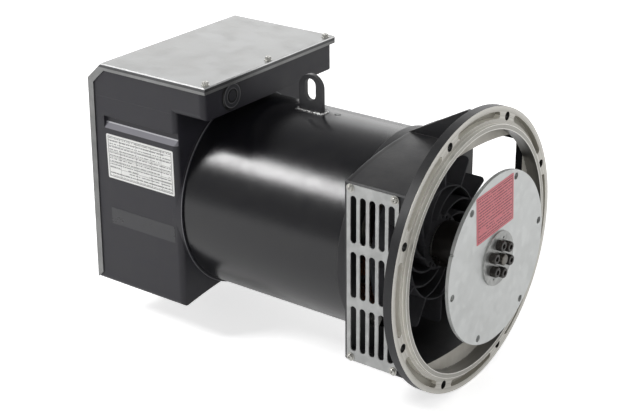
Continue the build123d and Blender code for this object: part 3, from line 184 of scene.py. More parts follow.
class Graph:
    """A node tree with short calls that add and join nodes."""

    def __init__(self, tree: bpy.types.NodeTree) -> None:
        """Keep the tree, emptied, that the calls add to."""
        self.tree = tree
        tree.nodes.clear()

    def feed(self, socket: Socket, value: object) -> None:
        """Link or set one input with a field, a socket, a number, a vector or a colour."""
        if isinstance(value, Field):
            value = value.socket
        elif isinstance(value, str):
            value = tone(value)
        if isinstance(value, Socket):
            self.tree.links.new(value, socket)
        elif socket.type == "RGBA" and len(value) == 3:
            socket.default_value = (*value, 1.0)
        else:
            socket.default_value = value

    def node(self, kind: str, inputs: Inputs | None = None, **settings: object) -> bpy.types.Node:
        """Add a node.

        Args:
            kind: Blender's name of the node type, without its common prefix.
            inputs: Values for its inputs.
            **settings: Properties to set on the node first.

        Returns:
            The new node.
        """
        made = self.tree.nodes.new(kind if kind.startswith("Node") else "ShaderNode" + kind)
        for name, value in settings.items():
            setattr(made, name, value)
        for key, value in (inputs or {}).items():
            self.feed(made.inputs[key], value)
        return made

    def field(
        self, kind: str, output: str | int, inputs: Inputs | None = None, **settings: object
    ) -> Field:
        """Add a node and give one of its outputs."""
        return Field(self, self.node(kind, inputs, **settings).outputs[output])

    def mix(self, share: Value, first: object, second: object) -> Field:
        """Mix two colours and give the result."""
        return self.field("Mix", 2, {0: share, 6: first, 7: second}, data_type="RGBA")

    def noise(
        self, vector: Field, scale: Value, detail: float = 3.0, roughness: float = 0.55
    ) -> Field:
        """Add a noise texture and give its value."""
        inputs = {"Vector": vector, "Scale": scale, "Detail": detail, "Roughness": roughness}
        return self.field("TexNoise", 0, inputs)

    def cells(self, vector: Field, scale: Value, output: str) -> Field:
        """Add soft Voronoi cells and give one output."""
        inputs = {"Vector": vector, "Scale": scale}
        return self.field("TexVoronoi", output, inputs, feature="SMOOTH_F1")

    def axes(self, vector: Field) -> Fields:
        """Split a vector into its X, Y and Z."""
        return tuple(Field(self, part) for part in self.node("SeparateXYZ", {0: vector}).outputs)

    def vector(self, x: Value, y: Value, z: Value) -> Field:
        """Join three numbers into a vector."""
        return self.field("CombineXYZ", 0, {0: x, 1: y, 2: z})

    def vectors(self, operation: str, output: str | int, first: Field, second: object) -> Field:
        """Work on two vectors and give one output."""
        return self.field("VectorMath", output, {0: first, 1: second}, operation=operation)

    def normal(self) -> Field:
        """Give the surface's normal."""
        return self.field("NewGeometry", "Normal")

    def bevel(self, radius: Value) -> Field:
        """Give the normal with edges rounded over."""
        return self.field("Bevel", 0, {"Radius": radius}, samples=4)


def radius_of(first: Field, second: Field) -> Field:
    """Distance from the axis that two coordinates are measured from."""
    return (first * first + second * second).root()


class Effects:
    """Shader node groups that several finishes share, each built once."""

    def __init__(self) -> None:
        """Build every group."""
        self.skin = self._build("cast_skin", self._skin, ("Height", "Patches"), "Scale", 900.0)
        self.wear = self._build("rubbed_edges", self._wear, ("Mask",), "Radius", 0.001)
        self.dust = self._build("settled_dust", self._dust, ("Mask",))
        self.spangle = self._build("zinc_spangle", self._spangle, ("Tone", "Grain"), "Scale", 150.0)
        self.rings = self._build("turned_rings", self._rings, ("Height", "Tone"), "Scale", 1400.0)
        self.grain = self._build("moulded_grain", self._grain, ("Height", "Tone"), "Scale", 1100.0)
        self.print = self._build("ruled_print", self._print, ("Mask",), "Rows", 300.0)

    @staticmethod
    def _build(
        name: str, fill: Callable[..., Fields], outputs: Sequence[str], knob: str = "",
        default: float = 0.0,
    ) -> bpy.types.NodeTree:
        """Make a group that takes a position and at most one number.

        Args:
            name: The group's name.
            fill: Adds the nodes and gives one field for each output.
            outputs: Names of its number outputs.
            knob: Name of its number input, if it has one.
            default: That input's own value.

        Returns:
            The group.
        """
        tree = bpy.data.node_groups.new(name, "ShaderNodeTree")
        tree.interface.new_socket("Position", in_out="INPUT", socket_type="NodeSocketVector")
        if knob:
            number = tree.interface.new_socket(knob, in_out="INPUT", socket_type="NodeSocketFloat")
            number.default_value = default
        for label in outputs:
            tree.interface.new_socket(label, in_out="OUTPUT", socket_type="NodeSocketFloat")
        graph = Graph(tree)
        given = graph.node("NodeGroupInput").outputs
        results = fill(graph, *(Field(graph, given[port]) for port in ("Position", knob) if port))
        graph.node("NodeGroupOutput", dict(zip(outputs, results)))
        return tree

    @staticmethod
    def _skin(graph: Graph, place: Field, scale: Field) -> Fields:
        """Pebbled skin of a sand or die casting, and broad uneven patches."""
        height = graph.noise(place, scale, 2.0, 0.6) * 0.65 + graph.noise(place, 170.0) * 0.55
        return height, graph.noise(place, 16.0, 5.0, 0.62).remap(0.34, 0.68)

    @staticmethod
    def _wear(graph: Graph, place: Field, radius: Field) -> Fields:
        """Edges rubbed through, broken up by noise."""
        along = graph.vectors("DOT_PRODUCT", "Value", graph.bevel(radius), graph.normal())
        rub = graph.noise(place, 230.0, 4.0, 0.65).remap(0.42, 0.6, 0.25, 1.0)
        return ((along.remap(0.99, 0.84) * rub).clamped(),)

    @staticmethod
    def _dust(graph: Graph, place: Field) -> Fields:
        """Thin dust, mostly on faces that look up."""
        upward = graph.axes(graph.normal())[2]
        patch = graph.noise(place, 38.0, 6.0, 0.7).remap(0.36, 0.74)
        return ((upward.remap(0.0, 1.0, 0.2, 1.0) * patch).clamped(),)

    @staticmethod
    def _spangle(graph: Graph, place: Field, scale: Field) -> Fields:
        """Crystal patches and fine grain of galvanised sheet."""
        wander = graph.field("TexNoise", 1, {"Vector": place, "Scale": 60.0, "Detail": 3.0})
        shift = graph.field("VectorMath", 0, {0: wander, 3: 0.016}, operation="SCALE")
        moved = graph.vectors("ADD", 0, place, shift)
        crystal = graph.field("SeparateColor", 0, {0: graph.cells(moved, scale, "Color")})
        blend = crystal * 0.4 + graph.noise(place, 18.0, 5.0, 0.6) * 0.75
        return blend.clamped(), graph.noise(place, 1500.0, 3.0, 0.6)

    @staticmethod
    def _rings(graph: Graph, place: Field, scale: Field) -> Fields:
        """Rings that a lathe leaves round the shaft axis."""
        x, y, z = graph.axes(place)
        line = graph.vector(radius_of(y, z), x, 0.0)
        fine = graph.noise(line, scale, 3.0, 0.7)
        return fine, fine * 0.5 + graph.noise(line, 190.0, 3.0, 0.6) * 0.5

    @staticmethod
    def _grain(graph: Graph, place: Field, scale: Field) -> Fields:
        """Leathery grain of moulded plastic and of powder paint."""
        cells = graph.cells(place, scale, "Distance")
        height = cells * 0.6 + graph.noise(place, 420.0, 4.0, 0.6) * 0.6
        return height, graph.noise(place, 45.0, 5.0, 0.62).remap(0.32, 0.7)

    @staticmethod
    def _print(graph: Graph, place: Field, rows: Field) -> Fields:
        """Rows of plain dashes that stand for fine print, in X and Y."""
        x, y, _ = graph.axes(place)
        row = y * rows
        number = row.floor()
        dash = graph.noise(graph.vector(x * 520.0, number * 7.3, 0.0), 1.0, 1.0) > 0.42
        length = graph.noise(graph.vector(x * 34.0, number * 3.1, 0.0), 1.0, 0.0) > 0.3
        return (row.fraction().inside(0.3, 0.64) * (dash * length),)


class Surface:
    """A material while it is built: its graph, its shader and its bump."""

    def __init__(self, name: str, effects: Effects, edge_radius: float) -> None:
        """Start a material.

        Args:
            name: The material's name.
            effects: The shared node groups.
            edge_radius: How far sharp edges look rounded.
        """
        self.material = bpy.data.materials.new(name)
        self.material.use_nodes = True
        self.graph = Graph(self.material.node_tree)
        self.effects = effects
        self.edge_radius = edge_radius
        self.shader = self.graph.node("BsdfPrincipled")
        self.graph.node("OutputMaterial", {"Surface": self.shader.outputs[0]})
        self.position = self.graph.field("TexCoord", "Object")

    def use(
        self, group: bpy.types.NodeTree, position: Field | None = None, **values: Value
    ) -> dict[str, Field]:
        """Place a shared group.

        Args:
            group: The group.
            position: Where it is measured, the object's own position if left out.
            **values: Its other inputs.

        Returns:
            Its outputs by name.
        """
        inputs = {"Position": position or self.position, **values}
        node = self.graph.node("Group", inputs, node_tree=group)
        return {output.name: Field(self.graph, output) for output in node.outputs}

    def axes(self) -> Fields:
        """Split the position into its X, Y and Z."""
        return self.graph.axes(self.position)

    def dust(self, share: float) -> Field:
        """Give a share of settled dust."""
        return self.use(self.effects.dust)["Mask"] * share

    def wear(self, radius: float, share: float) -> Field:
        """Give a share of wear along edges."""
        return self.use(self.effects.wear, Radius=radius)["Mask"] * share

    def set(self, **values: object) -> None:
        """Set or link the shader's inputs, with underscores for spaces."""
        for key, value in values.items():
            self.graph.feed(self.shader.inputs[key.replace("_", " ")], value)

    def bump(self, height: Field, strength: float, distance: float) -> None:
        """Feed a height to the shader's normal, over softened edges.

        Args:
            height: The height, from 0 to 1.
            strength: Share of the effect.
            distance: Depth of the relief.
        """
        inputs: Inputs = {"Height": height, "Strength": strength, "Distance": distance}
        if self.edge_radius > 0:
            inputs["Normal"] = self.graph.bevel(self.edge_radius)
        self.set(Normal=self.graph.field("Bump", 0, inputs))


# ---- finishes ----


@dataclass(frozen=True)
class Finish:
    """A surface finish: its main colour, its gloss and how far edges look rounded."""

    color: str
    roughness: float
    rounding = 0.0004

    def make(self, name: str, effects: Effects) -> Material:
        """Build the material.

        Args:
            name: The material's name.
            effects: The shared node groups.

        Returns:
            The finished material.
        """
        surface = Surface(name, effects, self.rounding)
        self.lay(surface, effects)
        return surface.material

    def lay(self, surface: Surface, effects: Effects) -> None:
        """Lay the finish on a new surface, with the shared node groups."""
        raise NotImplementedError

    def accent(self, surface: Surface, color: Field) -> Field:
        """Give the colour with the finish's own marks, none unless a finish adds them."""
        return color


@dataclass(frozen=True)
class Coat(Finish):
    """Paint, plating, moulded plastic or rubber over the whole surface."""

    second: str
    metallic: float = 0.0
    spread: float = 0.06
    grain_scale: float = 1500.0
    relief: float = 0.0001
    wear: float = 0.0
    wear_color: str = "808080"
    dust: float = 0.05
    rounding: float = 0.0005
    specular: float = 0.5

    def exposed(self, surface: Surface) -> Value:
        """Give 1 where edges can be rubbed, which is everywhere unless a finish says less."""
        return 1.0

    def lay(self, surface: Surface, effects: Effects) -> None:
        """Build an even coat with grain, patches, dust and rubbed edges."""
        grain = surface.use(effects.grain, Scale=self.grain_scale)
        dust = surface.dust(self.dust)
        color = surface.graph.mix(grain["Tone"], self.color, self.second).tint(dust, "8d8a84")
        rough = grain["Tone"].around(self.roughness, self.spread, self.spread)
        metal: Value = self.metallic
        if self.wear > 0:
            rubbed = surface.wear(0.0009, self.wear) * self.exposed(surface)
            color = color.tint(rubbed, self.wear_color)
            metal = rubbed.remap(0.0, 1.0, self.metallic, 0.8)
        surface.set(Base_Color=self.accent(surface, color), Metallic=metal)
        surface.set(Roughness=(rough + dust * 0.5).clamped(), Specular_IOR_Level=self.specular)
        surface.bump(grain["Height"], 0.5, self.relief)


@dataclass(frozen=True)
class ShieldCasting(Coat):
    """Coated casting with painted highlights on the bevel under each grip groove and along the
    collar's edge, and painted shade round the knockout.
    """

    bevel_x: Pair = (-0.4806, -0.3574)
    bevel_y: float = 0.1268
    bevel_z: Pair = (0.0955, 0.1033)
    line_z: Pair = (0.1022, 0.1037)
    collar_radius: float = 0.13135
    collar_x: Pair = (-0.3541, -0.3531)
    plug_center: Pair = (-0.0783, 0.1582)
    plug_gap: Pair = (0.0170, 0.0190)
    plug_x: float = -0.3096
    joint_z: float = 0.138
    joint_reach: float = 0.0015

    def exposed(self, surface: Surface) -> Value:
        """Leave out the hidden joint under the terminal box."""
        height = surface.axes()[2]
        return abs(height - self.joint_z) > self.joint_reach

    def accent(self, surface: Surface, color: Field) -> Field:
        """Add painted highlights on the bevels and the collar's edge, and painted shade in the gap
        round the knockout.
        """
        x, y, z = surface.axes()
        # Painted highlight: the bevel under each grip groove is lighter where it faces up to the
        # light, with a lighter line along its top.
        span = x.inside(*self.bevel_x) * (abs(y) > self.bevel_y)
        color = color.tint(span * z.inside(*self.bevel_z), "77767d")
        color = color.tint(span * z.inside(*self.line_z), "b4b4b8")
        # Painted highlight: a light ring along the collar's front edge.
        edge = (radius_of(y, z) > self.collar_radius) * (x > self.collar_x[0])
        edge = edge * (abs(z) < self.collar_radius) * (x < self.collar_x[1])
        color = color.tint(edge * 0.55, "a8a8ac")
        # Painted shade: a near-black ring in the gap round the knockout.
        away = radius_of(y - self.plug_center[0], z - self.plug_center[1])
        return color.tint(away.inside(*self.plug_gap) * (x > self.plug_x), "08080a")


@dataclass(frozen=True)
class Knockout(Coat):
    """Moulded plug with painted shade in the rings pressed into its face and painted highlights
    along them.
    """

    center: Pair = (-0.0783, 0.1582)
    rings: tuple[Pair, ...] = ((0.0156, 0.0182), (0.0070, 0.0094))
    painted_glints: tuple[Pair, ...] = ((0.0144, 0.0157), (0.0093, 0.0102))

    def accent(self, surface: Surface, color: Field) -> Field:
        """Paint shade into the rings round the plug's middle and paint highlights along their
        edges.
        """
        _, y, z = surface.axes()
        away = radius_of(y - self.center[0], z - self.center[1])
        # Painted shade in the rings, and painted highlights beside them.
        for ring in self.rings:
            color = color.tint(away.inside(*ring) * 0.97, "020203")
        for painted_glint in self.painted_glints:
            color = color.tint(away.inside(*painted_glint) * 0.34, "8c8c8e")
        return color


@dataclass(frozen=True)
class BracketCasting(Finish):
    """Casting painted all over but for its turned front."""

    bare: str
    turned: str
    face_x: float = -0.0003
    rim_radius: float = 0.1774
    wall_radius: Pair = (0.1504, 0.1515)
    wall_x: float = 0.0045
    web_x: float = -0.0125
    back_x: float = -0.0112
    bolt_count: int = 8
    bolt_share: float = 0.046
    bolt_radius: float = 0.1667
    register_edges: Pair = (0.1569, 0.1513)
    register_x: float = 0.0044
    edge_reach: float = 0.0005
    pocket_radius: float = 0.159
    pocket_floor_x: float = -0.0074
    edge_shine: float = 2.4
    rear_x: Pair = (-0.0908, -0.0872)
    inside_width: float = 0.1368
    rounding = 0.0007

    def lay(self, surface: Surface, effects: Effects) -> None:
        """Build the two-part finish with its border at the flange's edge."""
        graph = surface.graph
        x, y, z = surface.axes()
        radius = radius_of(y, z)
        skin = surface.use(effects.skin, Scale=760.0)
        rings = surface.use(effects.rings, Scale=1300.0)
        wear = surface.wear(0.0011, 0.3)

        # Where the metal is bare, and where it is also turned.
        face = x > self.face_x
        beyond = radius > self.register_edges[0]
        front = x > self.web_x - beyond * (self.web_x - self.back_x)
        bore = front * (radius < self.rim_radius)
        bare = face | bore
        wall = front * radius.inside(*self.wall_radius) * (x < self.wall_x)
        turned = face | wall
        as_cast = 1.0 - turned

        # Holes and pockets of the flange, and the rear wall's inside.
        outer = radius > self.pocket_radius
        eighth = (y.angle_from(z) * (self.bolt_count / FULL_TURN)).fraction()
        hole = (bore - face) * ((abs(eighth - 0.5) < self.bolt_share) * outer)
        pocket = (bore - (face + hole).clamped()) * outer
        lit_inner_wall = pocket * (x > self.pocket_floor_x) * (radius < self.bolt_radius)
        register = (x > self.register_x) * (radius < self.register_edges[0])
        rear = x.inside(*self.rear_x) * (abs(y) < self.inside_width) * (abs(z) < self.inside_width)

        paint = graph.mix(skin["Patches"], self.color, "202023")
        # Painted shade: the rear wall's inside is darkened to near black; the dust and rubbed edges
        # on the paint are its own.
        paint = paint.tint((surface.dust(0.1) + wear).clamped(), "77756f").tint(rear, "070708")
        # Painted shade on the pockets' floors and in the bolt holes, and painted highlight on the
        # pockets' inner walls.
        cast = graph.mix(skin["Patches"], self.bare, "a39f96").tint(pocket, "a29f96")
        cast = cast.tint(lit_inner_wall, "f6f3ea").tint(hole, "232220")
        cut = graph.mix(rings["Tone"].remap(0.42, 0.58), self.turned, "a19e96")
        # Painted shade on the register's front face.
        cut = cut.tint(register * 0.5, "7b7972")
        # Painted highlights: thin light lines at the register's edges.
        for edge in self.register_edges:
            line = radius.inside(edge - self.edge_reach, edge + self.edge_reach) * turned
            cut = cut.tint(line * 0.8, "f2f1ec")
        # Painted shade on the bore's turned wall.
        metal_color = graph.mix(turned, cast, cut.tint(wall * 0.8, "45433f"))
        # Painted highlight along the bare metal's edges, laid over the rubbed-edge mask.
        metal_color = metal_color.tint((wear * self.edge_shine).clamped(), "f1eee6")

        metal_rough = turned * rings["Tone"].remap(0.3, 0.7, 0.26, 0.4)
        metal_rough = metal_rough + as_cast * skin["Patches"].remap(0.0, 1.0, 0.42, 0.56)
        paint_rough = skin["Patches"].around(self.roughness, 0.06, 0.08)
        surface.set(
            Base_Color=graph.mix(bare, paint, metal_color),
            Metallic=bare * (turned * 0.5 + 0.3),
            Roughness=(bare * metal_rough + (1.0 - bare) * paint_rough).clamped(),
            Specular_IOR_Level=0.4,
        )
        height = skin["Height"] * as_cast + rings["Height"] * 0.22 * turned
        surface.bump(height, 0.6, 0.00022)


@dataclass(frozen=True)
class TubePaint(Finish):
    """Semi-gloss paint on the stator tube, with a small struck mark on its top."""

    mark: Pair = (-0.209, 0.007)
    mark_radius: Pair = (0.002604, 0.0042)
    top_z: float = 0.12
    rounding = 0.0006

    def lay(self, surface: Surface, effects: Effects) -> None:
        """Build the paint with faint ripples and scuffs."""
        graph = surface.graph
        x, y, z = surface.axes()
        away = radius_of(x - self.mark[0], y - self.mark[1])
        ring = away.inside(*self.mark_radius) * (z > self.top_z)
        grain = surface.use(effects.grain, Scale=1500.0)
        streak = graph.noise(graph.vector(x * 26.0, y * 150.0, z * 150.0), 1.0, 5.0, 0.7)
        color = graph.mix(grain["Tone"], self.color, "141416")
        color = color.tint(surface.dust(0.02), "6a6a6c").tint(ring, "050506")
        scuff = streak.remap(0.6, 0.78) * 0.03 + ring * 0.5
        rough = (grain["Tone"].around(self.roughness, 0.02, 0.03) + scuff).clamped()
        surface.set(Base_Color=color, Roughness=rough)
        ripple = grain["Height"] * 1.1 + graph.noise(surface.position, 34.0, 2.0) * 1.2
        surface.bump(ripple - ring * 3.0, 0.35, 0.00016)


@dataclass(frozen=True)
class ZincSheet(Finish):
    """Galvanised or plated sheet with crystal patches."""

    light: str
    crystal: float = 120.0
    metallic: float = 0.75

    def lay(self, surface: Surface, effects: Effects) -> None:
        """Build the sheet with spangle, fine grain and a little dullness."""
        spangle = surface.use(effects.spangle, Scale=self.crystal)
        patch = spangle["Tone"].remap(0.3, 0.8)
        color = surface.graph.mix(patch, self.color, self.light).tint(surface.dust(0.1), "9b988f")
        rough = (patch.around(self.roughness, 0.07, 0.08) + spangle["Grain"] * 0.08).clamped()
        surface.set(Base_Color=self.accent(surface, color), Metallic=self.metallic, Roughness=rough)
        surface.bump(spangle["Grain"] * 0.5 + patch * 0.4, 0.4, 0.00006)


@dataclass(frozen=True)
class CoverSheet(ZincSheet):
    """Folded sheet whose turned-down edges have a painted highlight at the bend over a band of
    painted shade.
    """

    band: Pair = (0.1775, 0.1812)

    def accent(self, surface: Surface, color: Field) -> Field:
        """Add a painted highlight at the bend, painted shade on the upright faces and their band,
        and a broad uneven tone.
        """
        graph = surface.graph
        z = surface.axes()[2]
        cloud = graph.noise(surface.position, 7.0, 4.0, 0.6).remap(0.35, 0.68)
        upright_shade = graph.noise(surface.position, 9.0, 5.0, 0.7).remap(0.3, 0.7, 0.1, 0.75)
        upright = abs(graph.axes(graph.normal())[2]) < 0.5
        # The cloud is the sheet's own tone; upright faces get painted shade in patches.
        color = color.tint(cloud * 0.45, "8f9090").tint(upright * upright_shade, "484846")
        # Painted shade in a band below the bend.
        color = color.tint(upright * z.inside(*self.band) * 0.75, "38383a")
        # Painted highlight along the bend at the top.
        return color.tint(upright * (z > self.band[1]), "e8e8e8")


@dataclass(frozen=True)
class TurnedSteel(Finish):
    """Steel turned on a lathe about the shaft axis."""

    light: str

    def lay(self, surface: Surface, effects: Effects) -> None:
        """Build bright steel with rings and a thin film of oil."""
        rings = surface.use(effects.rings, Scale=2100.0)
        oil = surface.use(effects.skin, Scale=300.0)["Patches"]
        color = surface.graph.mix(rings["Tone"].remap(0.36, 0.64), self.color, self.light)
        rough = rings["Tone"].remap(0.3, 0.7, self.roughness - 0.06, self.roughness + 0.08)
        surface.set(Base_Color=color.tint(oil * 0.35, "6b5f4e"), Metallic=0.9)
        surface.set(Roughness=(rough + oil * 0.06).clamped())
        surface.bump(rings["Height"], 0.35, 0.00005)


@dataclass(frozen=True)
class SheetStack(Finish):
    """Stacked steel laminations with varnish, edge on."""

    sheet: float = 0.0005
    rounding = 0.0

    def lay(self, surface: Surface, effects: Effects) -> None:
        """Build fine lines across the axis under patchy varnish."""
        graph = surface.graph
        x = surface.axes()[0]
        wave = (x * (FULL_TURN / (self.sheet * 3))).sine()
        per_sheet = graph.noise(graph.vector(x * (0.33 / self.sheet), 0.0, 0.0), 1.0, 2.0, 0.8)
        skin = surface.use(effects.skin, Scale=260.0)
        color = graph.mix(per_sheet.remap(0.3, 0.7), self.color, "7f8083")
        surface.set(Base_Color=color.tint(skin["Patches"] * 0.7, "4a2d1c"), Metallic=0.55)
        surface.set(Roughness=skin["Patches"].around(self.roughness, 0.0, 0.2))
        surface.bump(wave * 0.5 + skin["Height"], 0.5, 0.00015)


@dataclass(frozen=True)
class WireWinding(Finish):
    """Enamelled wires laid round the axis and soaked in varnish."""

    wire: float = 0.0012
    rounding = 0.0

    def lay(self, surface: Surface, effects: Effects) -> None:
        """Build wires as relief, with lighter and darker turns."""
        graph = surface.graph
        x, y, z = surface.axes()
        wander = graph.noise(surface.position, 55.0) * 0.006
        turns = (radius_of(y, z) + wander + x + wander) / self.wire
        round_top = abs((turns * math.pi).sine())
        each = graph.noise(graph.vector(turns.floor(), 0.0, 0.0), 0.73, 1.0)
        color = graph.mix(each.remap(0.35, 0.65), self.color, "a4582c")
        varnish = surface.use(effects.skin, Scale=340.0)["Patches"] * 0.4
        # Painted shade between the wires' round tops; the varnish patches are real.
        color = color.tint(1.0 - round_top, "3a1a0c").tint(varnish, "5a2c16")
        rough = round_top.around(self.roughness, -0.25, 0.0)
        surface.set(Base_Color=color, Metallic=0.35, Roughness=rough, Coat_Weight=0.4)
        surface.bump(round_top, 0.8, 0.0005)


@dataclass(frozen=True)
class Panel(Finish):
    """Thin plate or film with a ruled border and plain dashed rows."""

    ink: str
    center: Pair
    across: str
    size: Pair
    rows: float
    ink_share: float
    turn: float = 0.0
    metallic: float = 0.0
    columns: tuple[float, ...] = ()
    rules: tuple[float, ...] = ()
    border: Pair = (0.0026, 0.0034)
    margin: float = 0.0042
    rule_reach: float = 0.0002
    rounding = 0.0

    def lay(self, surface: Surface, effects: Effects) -> None:
        """Build the panel, printed on its outer face."""
        graph = surface.graph
        x, y, z = surface.axes()
        first = (x if self.across == "x" else y) - self.center[0]
        second = z - self.center[1]
        cosine, sine = math.cos(self.turn), math.sin(self.turn)
        u = first * cosine + second * sine
        v = second * cosine - first * sine
        side, rise = abs(u), abs(v)

        def within(margin: float) -> Field:
            """Give 1 further in than a margin."""
            return (side < self.size[0] / 2 - margin) * (rise < self.size[1] / 2 - margin)

        field = within(self.border[0])
        reach = self.rule_reach
        lines = field - within(self.border[1])
        for line, places in ((v, self.rules), (u, self.columns)):
            for place in places:
                lines = lines | line.inside(place - reach, place + reach) * field
        text = surface.use(effects.print, graph.vector(u, v, 0.0), Rows=self.rows)["Mask"]
        ink = text * within(self.margin) * self.ink_share | lines * 0.85
        grain = surface.use(effects.grain, Scale=1900.0)
        darker = tuple(channel * 0.82 for channel in tone(self.color))
        base = graph.mix(grain["Tone"] * 0.35, self.color, darker)
        surface.set(Base_Color=base.tint(ink, self.ink), Metallic=self.metallic)
        surface.set(Roughness=grain["Tone"].around(self.roughness, 0.05, 0.07))
        surface.bump(grain["Height"], 0.25, 0.00004)


class Look(Enum):
    """Every finish on the head; its name in small letters is its material's name."""

    BRACKET_CASTING = BracketCasting("18181b", 0.44, "c6c3bb", "d6d4ce")
    SHIELD_CASTING = ShieldCasting(
        "17161d", 0.5, "1f1e26", spread=0.05, grain_scale=900.0, relief=0.0002, wear=0.3,
        wear_color="6c6c70", rounding=0.0009,
    )
    KNOCKOUT = Knockout(
        "222226", 0.4, "2b2b2f", spread=0.05, grain_scale=1400.0, relief=0.00008, wear=0.35,
        wear_color="77777a",
    )
    COVER_SHEET = CoverSheet("888989", 0.33, "a7a7a6", 60.0, 0.8)
    TUBE_PAINT = TubePaint("0f0f14", 0.23)
    GALVANISED = ZincSheet("9b9c9b", 0.36, "b8b9b8")
    BRIGHT_STEEL = ZincSheet("a09f9a", 0.28, "cccbc6", 900.0, 0.9)
    DISC_STEEL = ZincSheet("c2c4c3", 0.4, "d6d8d7", 95.0, 0.7)
    WELD_BEAD = ZincSheet("5a5a5c", 0.2, "f4f4f2", 420.0, 0.9)
    CLAMP_STEEL = ZincSheet("8f908e", 0.32, "b4b5b3", 240.0, 0.85)
    DIODE_PLATE = ZincSheet("b6b7b8", 0.35, "cfd0d0", 200.0, 0.85)
    TURNED_STEEL = TurnedSteel("a5a49f", 0.26, "d3d2cd")
    BOLT_STEEL = TurnedSteel("484743", 0.34, "858480")
    LAMINATIONS = SheetStack("55565a", 0.42)
    COPPER = WireWinding("8a4522", 0.3)
    # The black oxide's rubbed edges are partly real wear and partly painted highlight on the
    # knurled screw heads.
    BLACK_OXIDE = Coat(
        "272523", 0.34, "353230", metallic=0.4, spread=0.08, grain_scale=1600.0, relief=0.00005,
        wear=0.5, wear_color="8b8883", dust=0.04, rounding=0.0003,
    )
    BRASS = Coat(
        "b99a55", 0.3, "a0823f", metallic=0.9, spread=0.08, grain_scale=1700.0, relief=0.00004,
        wear=0.3, wear_color="e2c888", rounding=0.0003,
    )
    # The fan's black plastic is given a mid-grey colour: painted light on its blades.
    BLACK_PLASTIC = Coat(
        "48484b", 0.6, "525255", relief=0.00005, dust=0.02, rounding=0.0, specular=0.05
    )
    BOARD = Coat("6d4026", 0.45, "5a3320", spread=0.08, grain_scale=800.0, dust=0.1)
    POTTING = Coat("1f2a38", 0.3, "18202b", grain_scale=500.0, relief=0.00015, dust=0.1)
    RUBBER = Coat("171717", 0.62, "202020", grain_scale=1200.0, dust=0.1)
    EYE_PAINT = Coat(
        "202023", 0.36, "2a2a2d", grain_scale=1100.0, relief=0.00016, wear=0.4,
        wear_color="6f6f70", dust=0.08, rounding=0.0008,
    )
    BLANK_BAND = Coat("2c2c2f", 0.3, "303034", spread=0.04, relief=0.00003, rounding=0.0)
    PLATE = Panel(
        "e2e2e0", 0.36, "141417", (-0.421, 0.0578), "x", (0.115, 0.061), 250.0, 0.7,
        metallic=0.35, columns=(-0.034, -0.006, 0.020, 0.037),
        rules=(0.0229, 0.0153, 0.0077, 0.0, -0.0076, -0.0153, -0.0229),
    )
    LABEL = Panel(
        "d3767e", 0.42, "450f1a", (-0.0088, 0.0662), "y", (0.084, 0.061), 262.0, 0.85,
        turn=math.radians(4.0),
    )


Looks = dict[Look, tuple[str, ...]]


class Stock:
    """Materials of the head, each made the first time it is asked for."""

    def __init__(self) -> None:
        """Build the shared groups and start with no materials."""
        self.effects = Effects()
        self.made: dict[Look, Material] = {}

    def get(self, look: Look) -> Material:
        """Give a finish's material."""
        if look not in self.made:
            self.made[look] = look.value.make(look.name.lower(), self.effects)
        return self.made[look]


# ---- mesh making ----


@dataclass(frozen=True)
class Level:
    """One level of a screw's head, in millimetres."""

    radius: float
    height: float
    outline: Outline = Outline.ROUND

    def reach(self, index: int, angle: float) -> float:
        """Distance from the screw's axis to a point, by its number and angle."""
        if self.outline is Outline.KNURL:
            return self.radius * (0.9 if index % 2 else 1.0)
        if self.outline is Outline.HEXAGON:
            return self.radius / math.cos((angle + math.pi / 6) % (math.pi / 3) - math.pi / 6)
        if self.outline is Outline.CROSS:
            return self.radius * (0.32 + 0.68 * abs(math.cos(2 * angle)) ** 5)
        return self.radius


def close_rings(mesh: Mesh, rings: Sequence[Sequence[Vector]]) -> None:
    """Add a closed skin over rings with equal numbers of points, one above another."""
    rows = [[mesh.verts.new(point) for point in ring] for ring in rings]
    count = len(rows[0])
    for lower, upper in zip(rows, rows[1:]):
        for index in range(count):
            after = (index + 1) % count
            mesh.faces.new((lower[index], lower[after], upper[after], upper[index]))
    mesh.faces.new(reversed(rows[0]))
    mesh.faces.new(rows[-1])


def add_head(mesh: Mesh, levels: Sequence[Level], place: Matrix, count: int = 72) -> None:
    """Add a closed head that rises along its local Z.

    Args:
        mesh: The mesh to add to.
        levels: The head's levels from its seat to the middle of its recess.
        place: Position and direction, in metres.
        count: Points in a full turn.
    """
    rings = []
    for level in levels:
        ring = []
        for index in range(count):
            angle = FULL_TURN * index / count
            reach = level.reach(index, angle) * MM
            point = Vector((reach * math.cos(angle), reach * math.sin(angle), level.height * MM))
            ring.append(place @ point)
        rings.append(ring)
    close_rings(mesh, rings)


def facing(spot: Sequence[float], normal: Sequence[float], turn: float = 0.0) -> Matrix:
    """Place a spot in millimetres with its local Z along a normal, turned about it."""
    rotation = Vector(normal).to_track_quat("Z", "Y").to_matrix().to_4x4()
    place = Matrix.Translation([value * MM for value in spot])
    return place @ rotation @ Matrix.Rotation(turn, 4, "Z")


def link(piece: bpy.types.Object) -> bpy.types.Object:
    """Put an object into the scene and give it back."""
    bpy.context.scene.collection.objects.link(piece)
    return piece


def make_object(name: str, mesh: Mesh, material: Material) -> bpy.types.Object:
    """Turn a mesh, which is freed, into an object of one material."""
    data = bpy.data.meshes.new(name)
    mesh.to_mesh(data)
    mesh.free()
    data.materials.append(material)
    return link(bpy.data.objects.new(name, data))


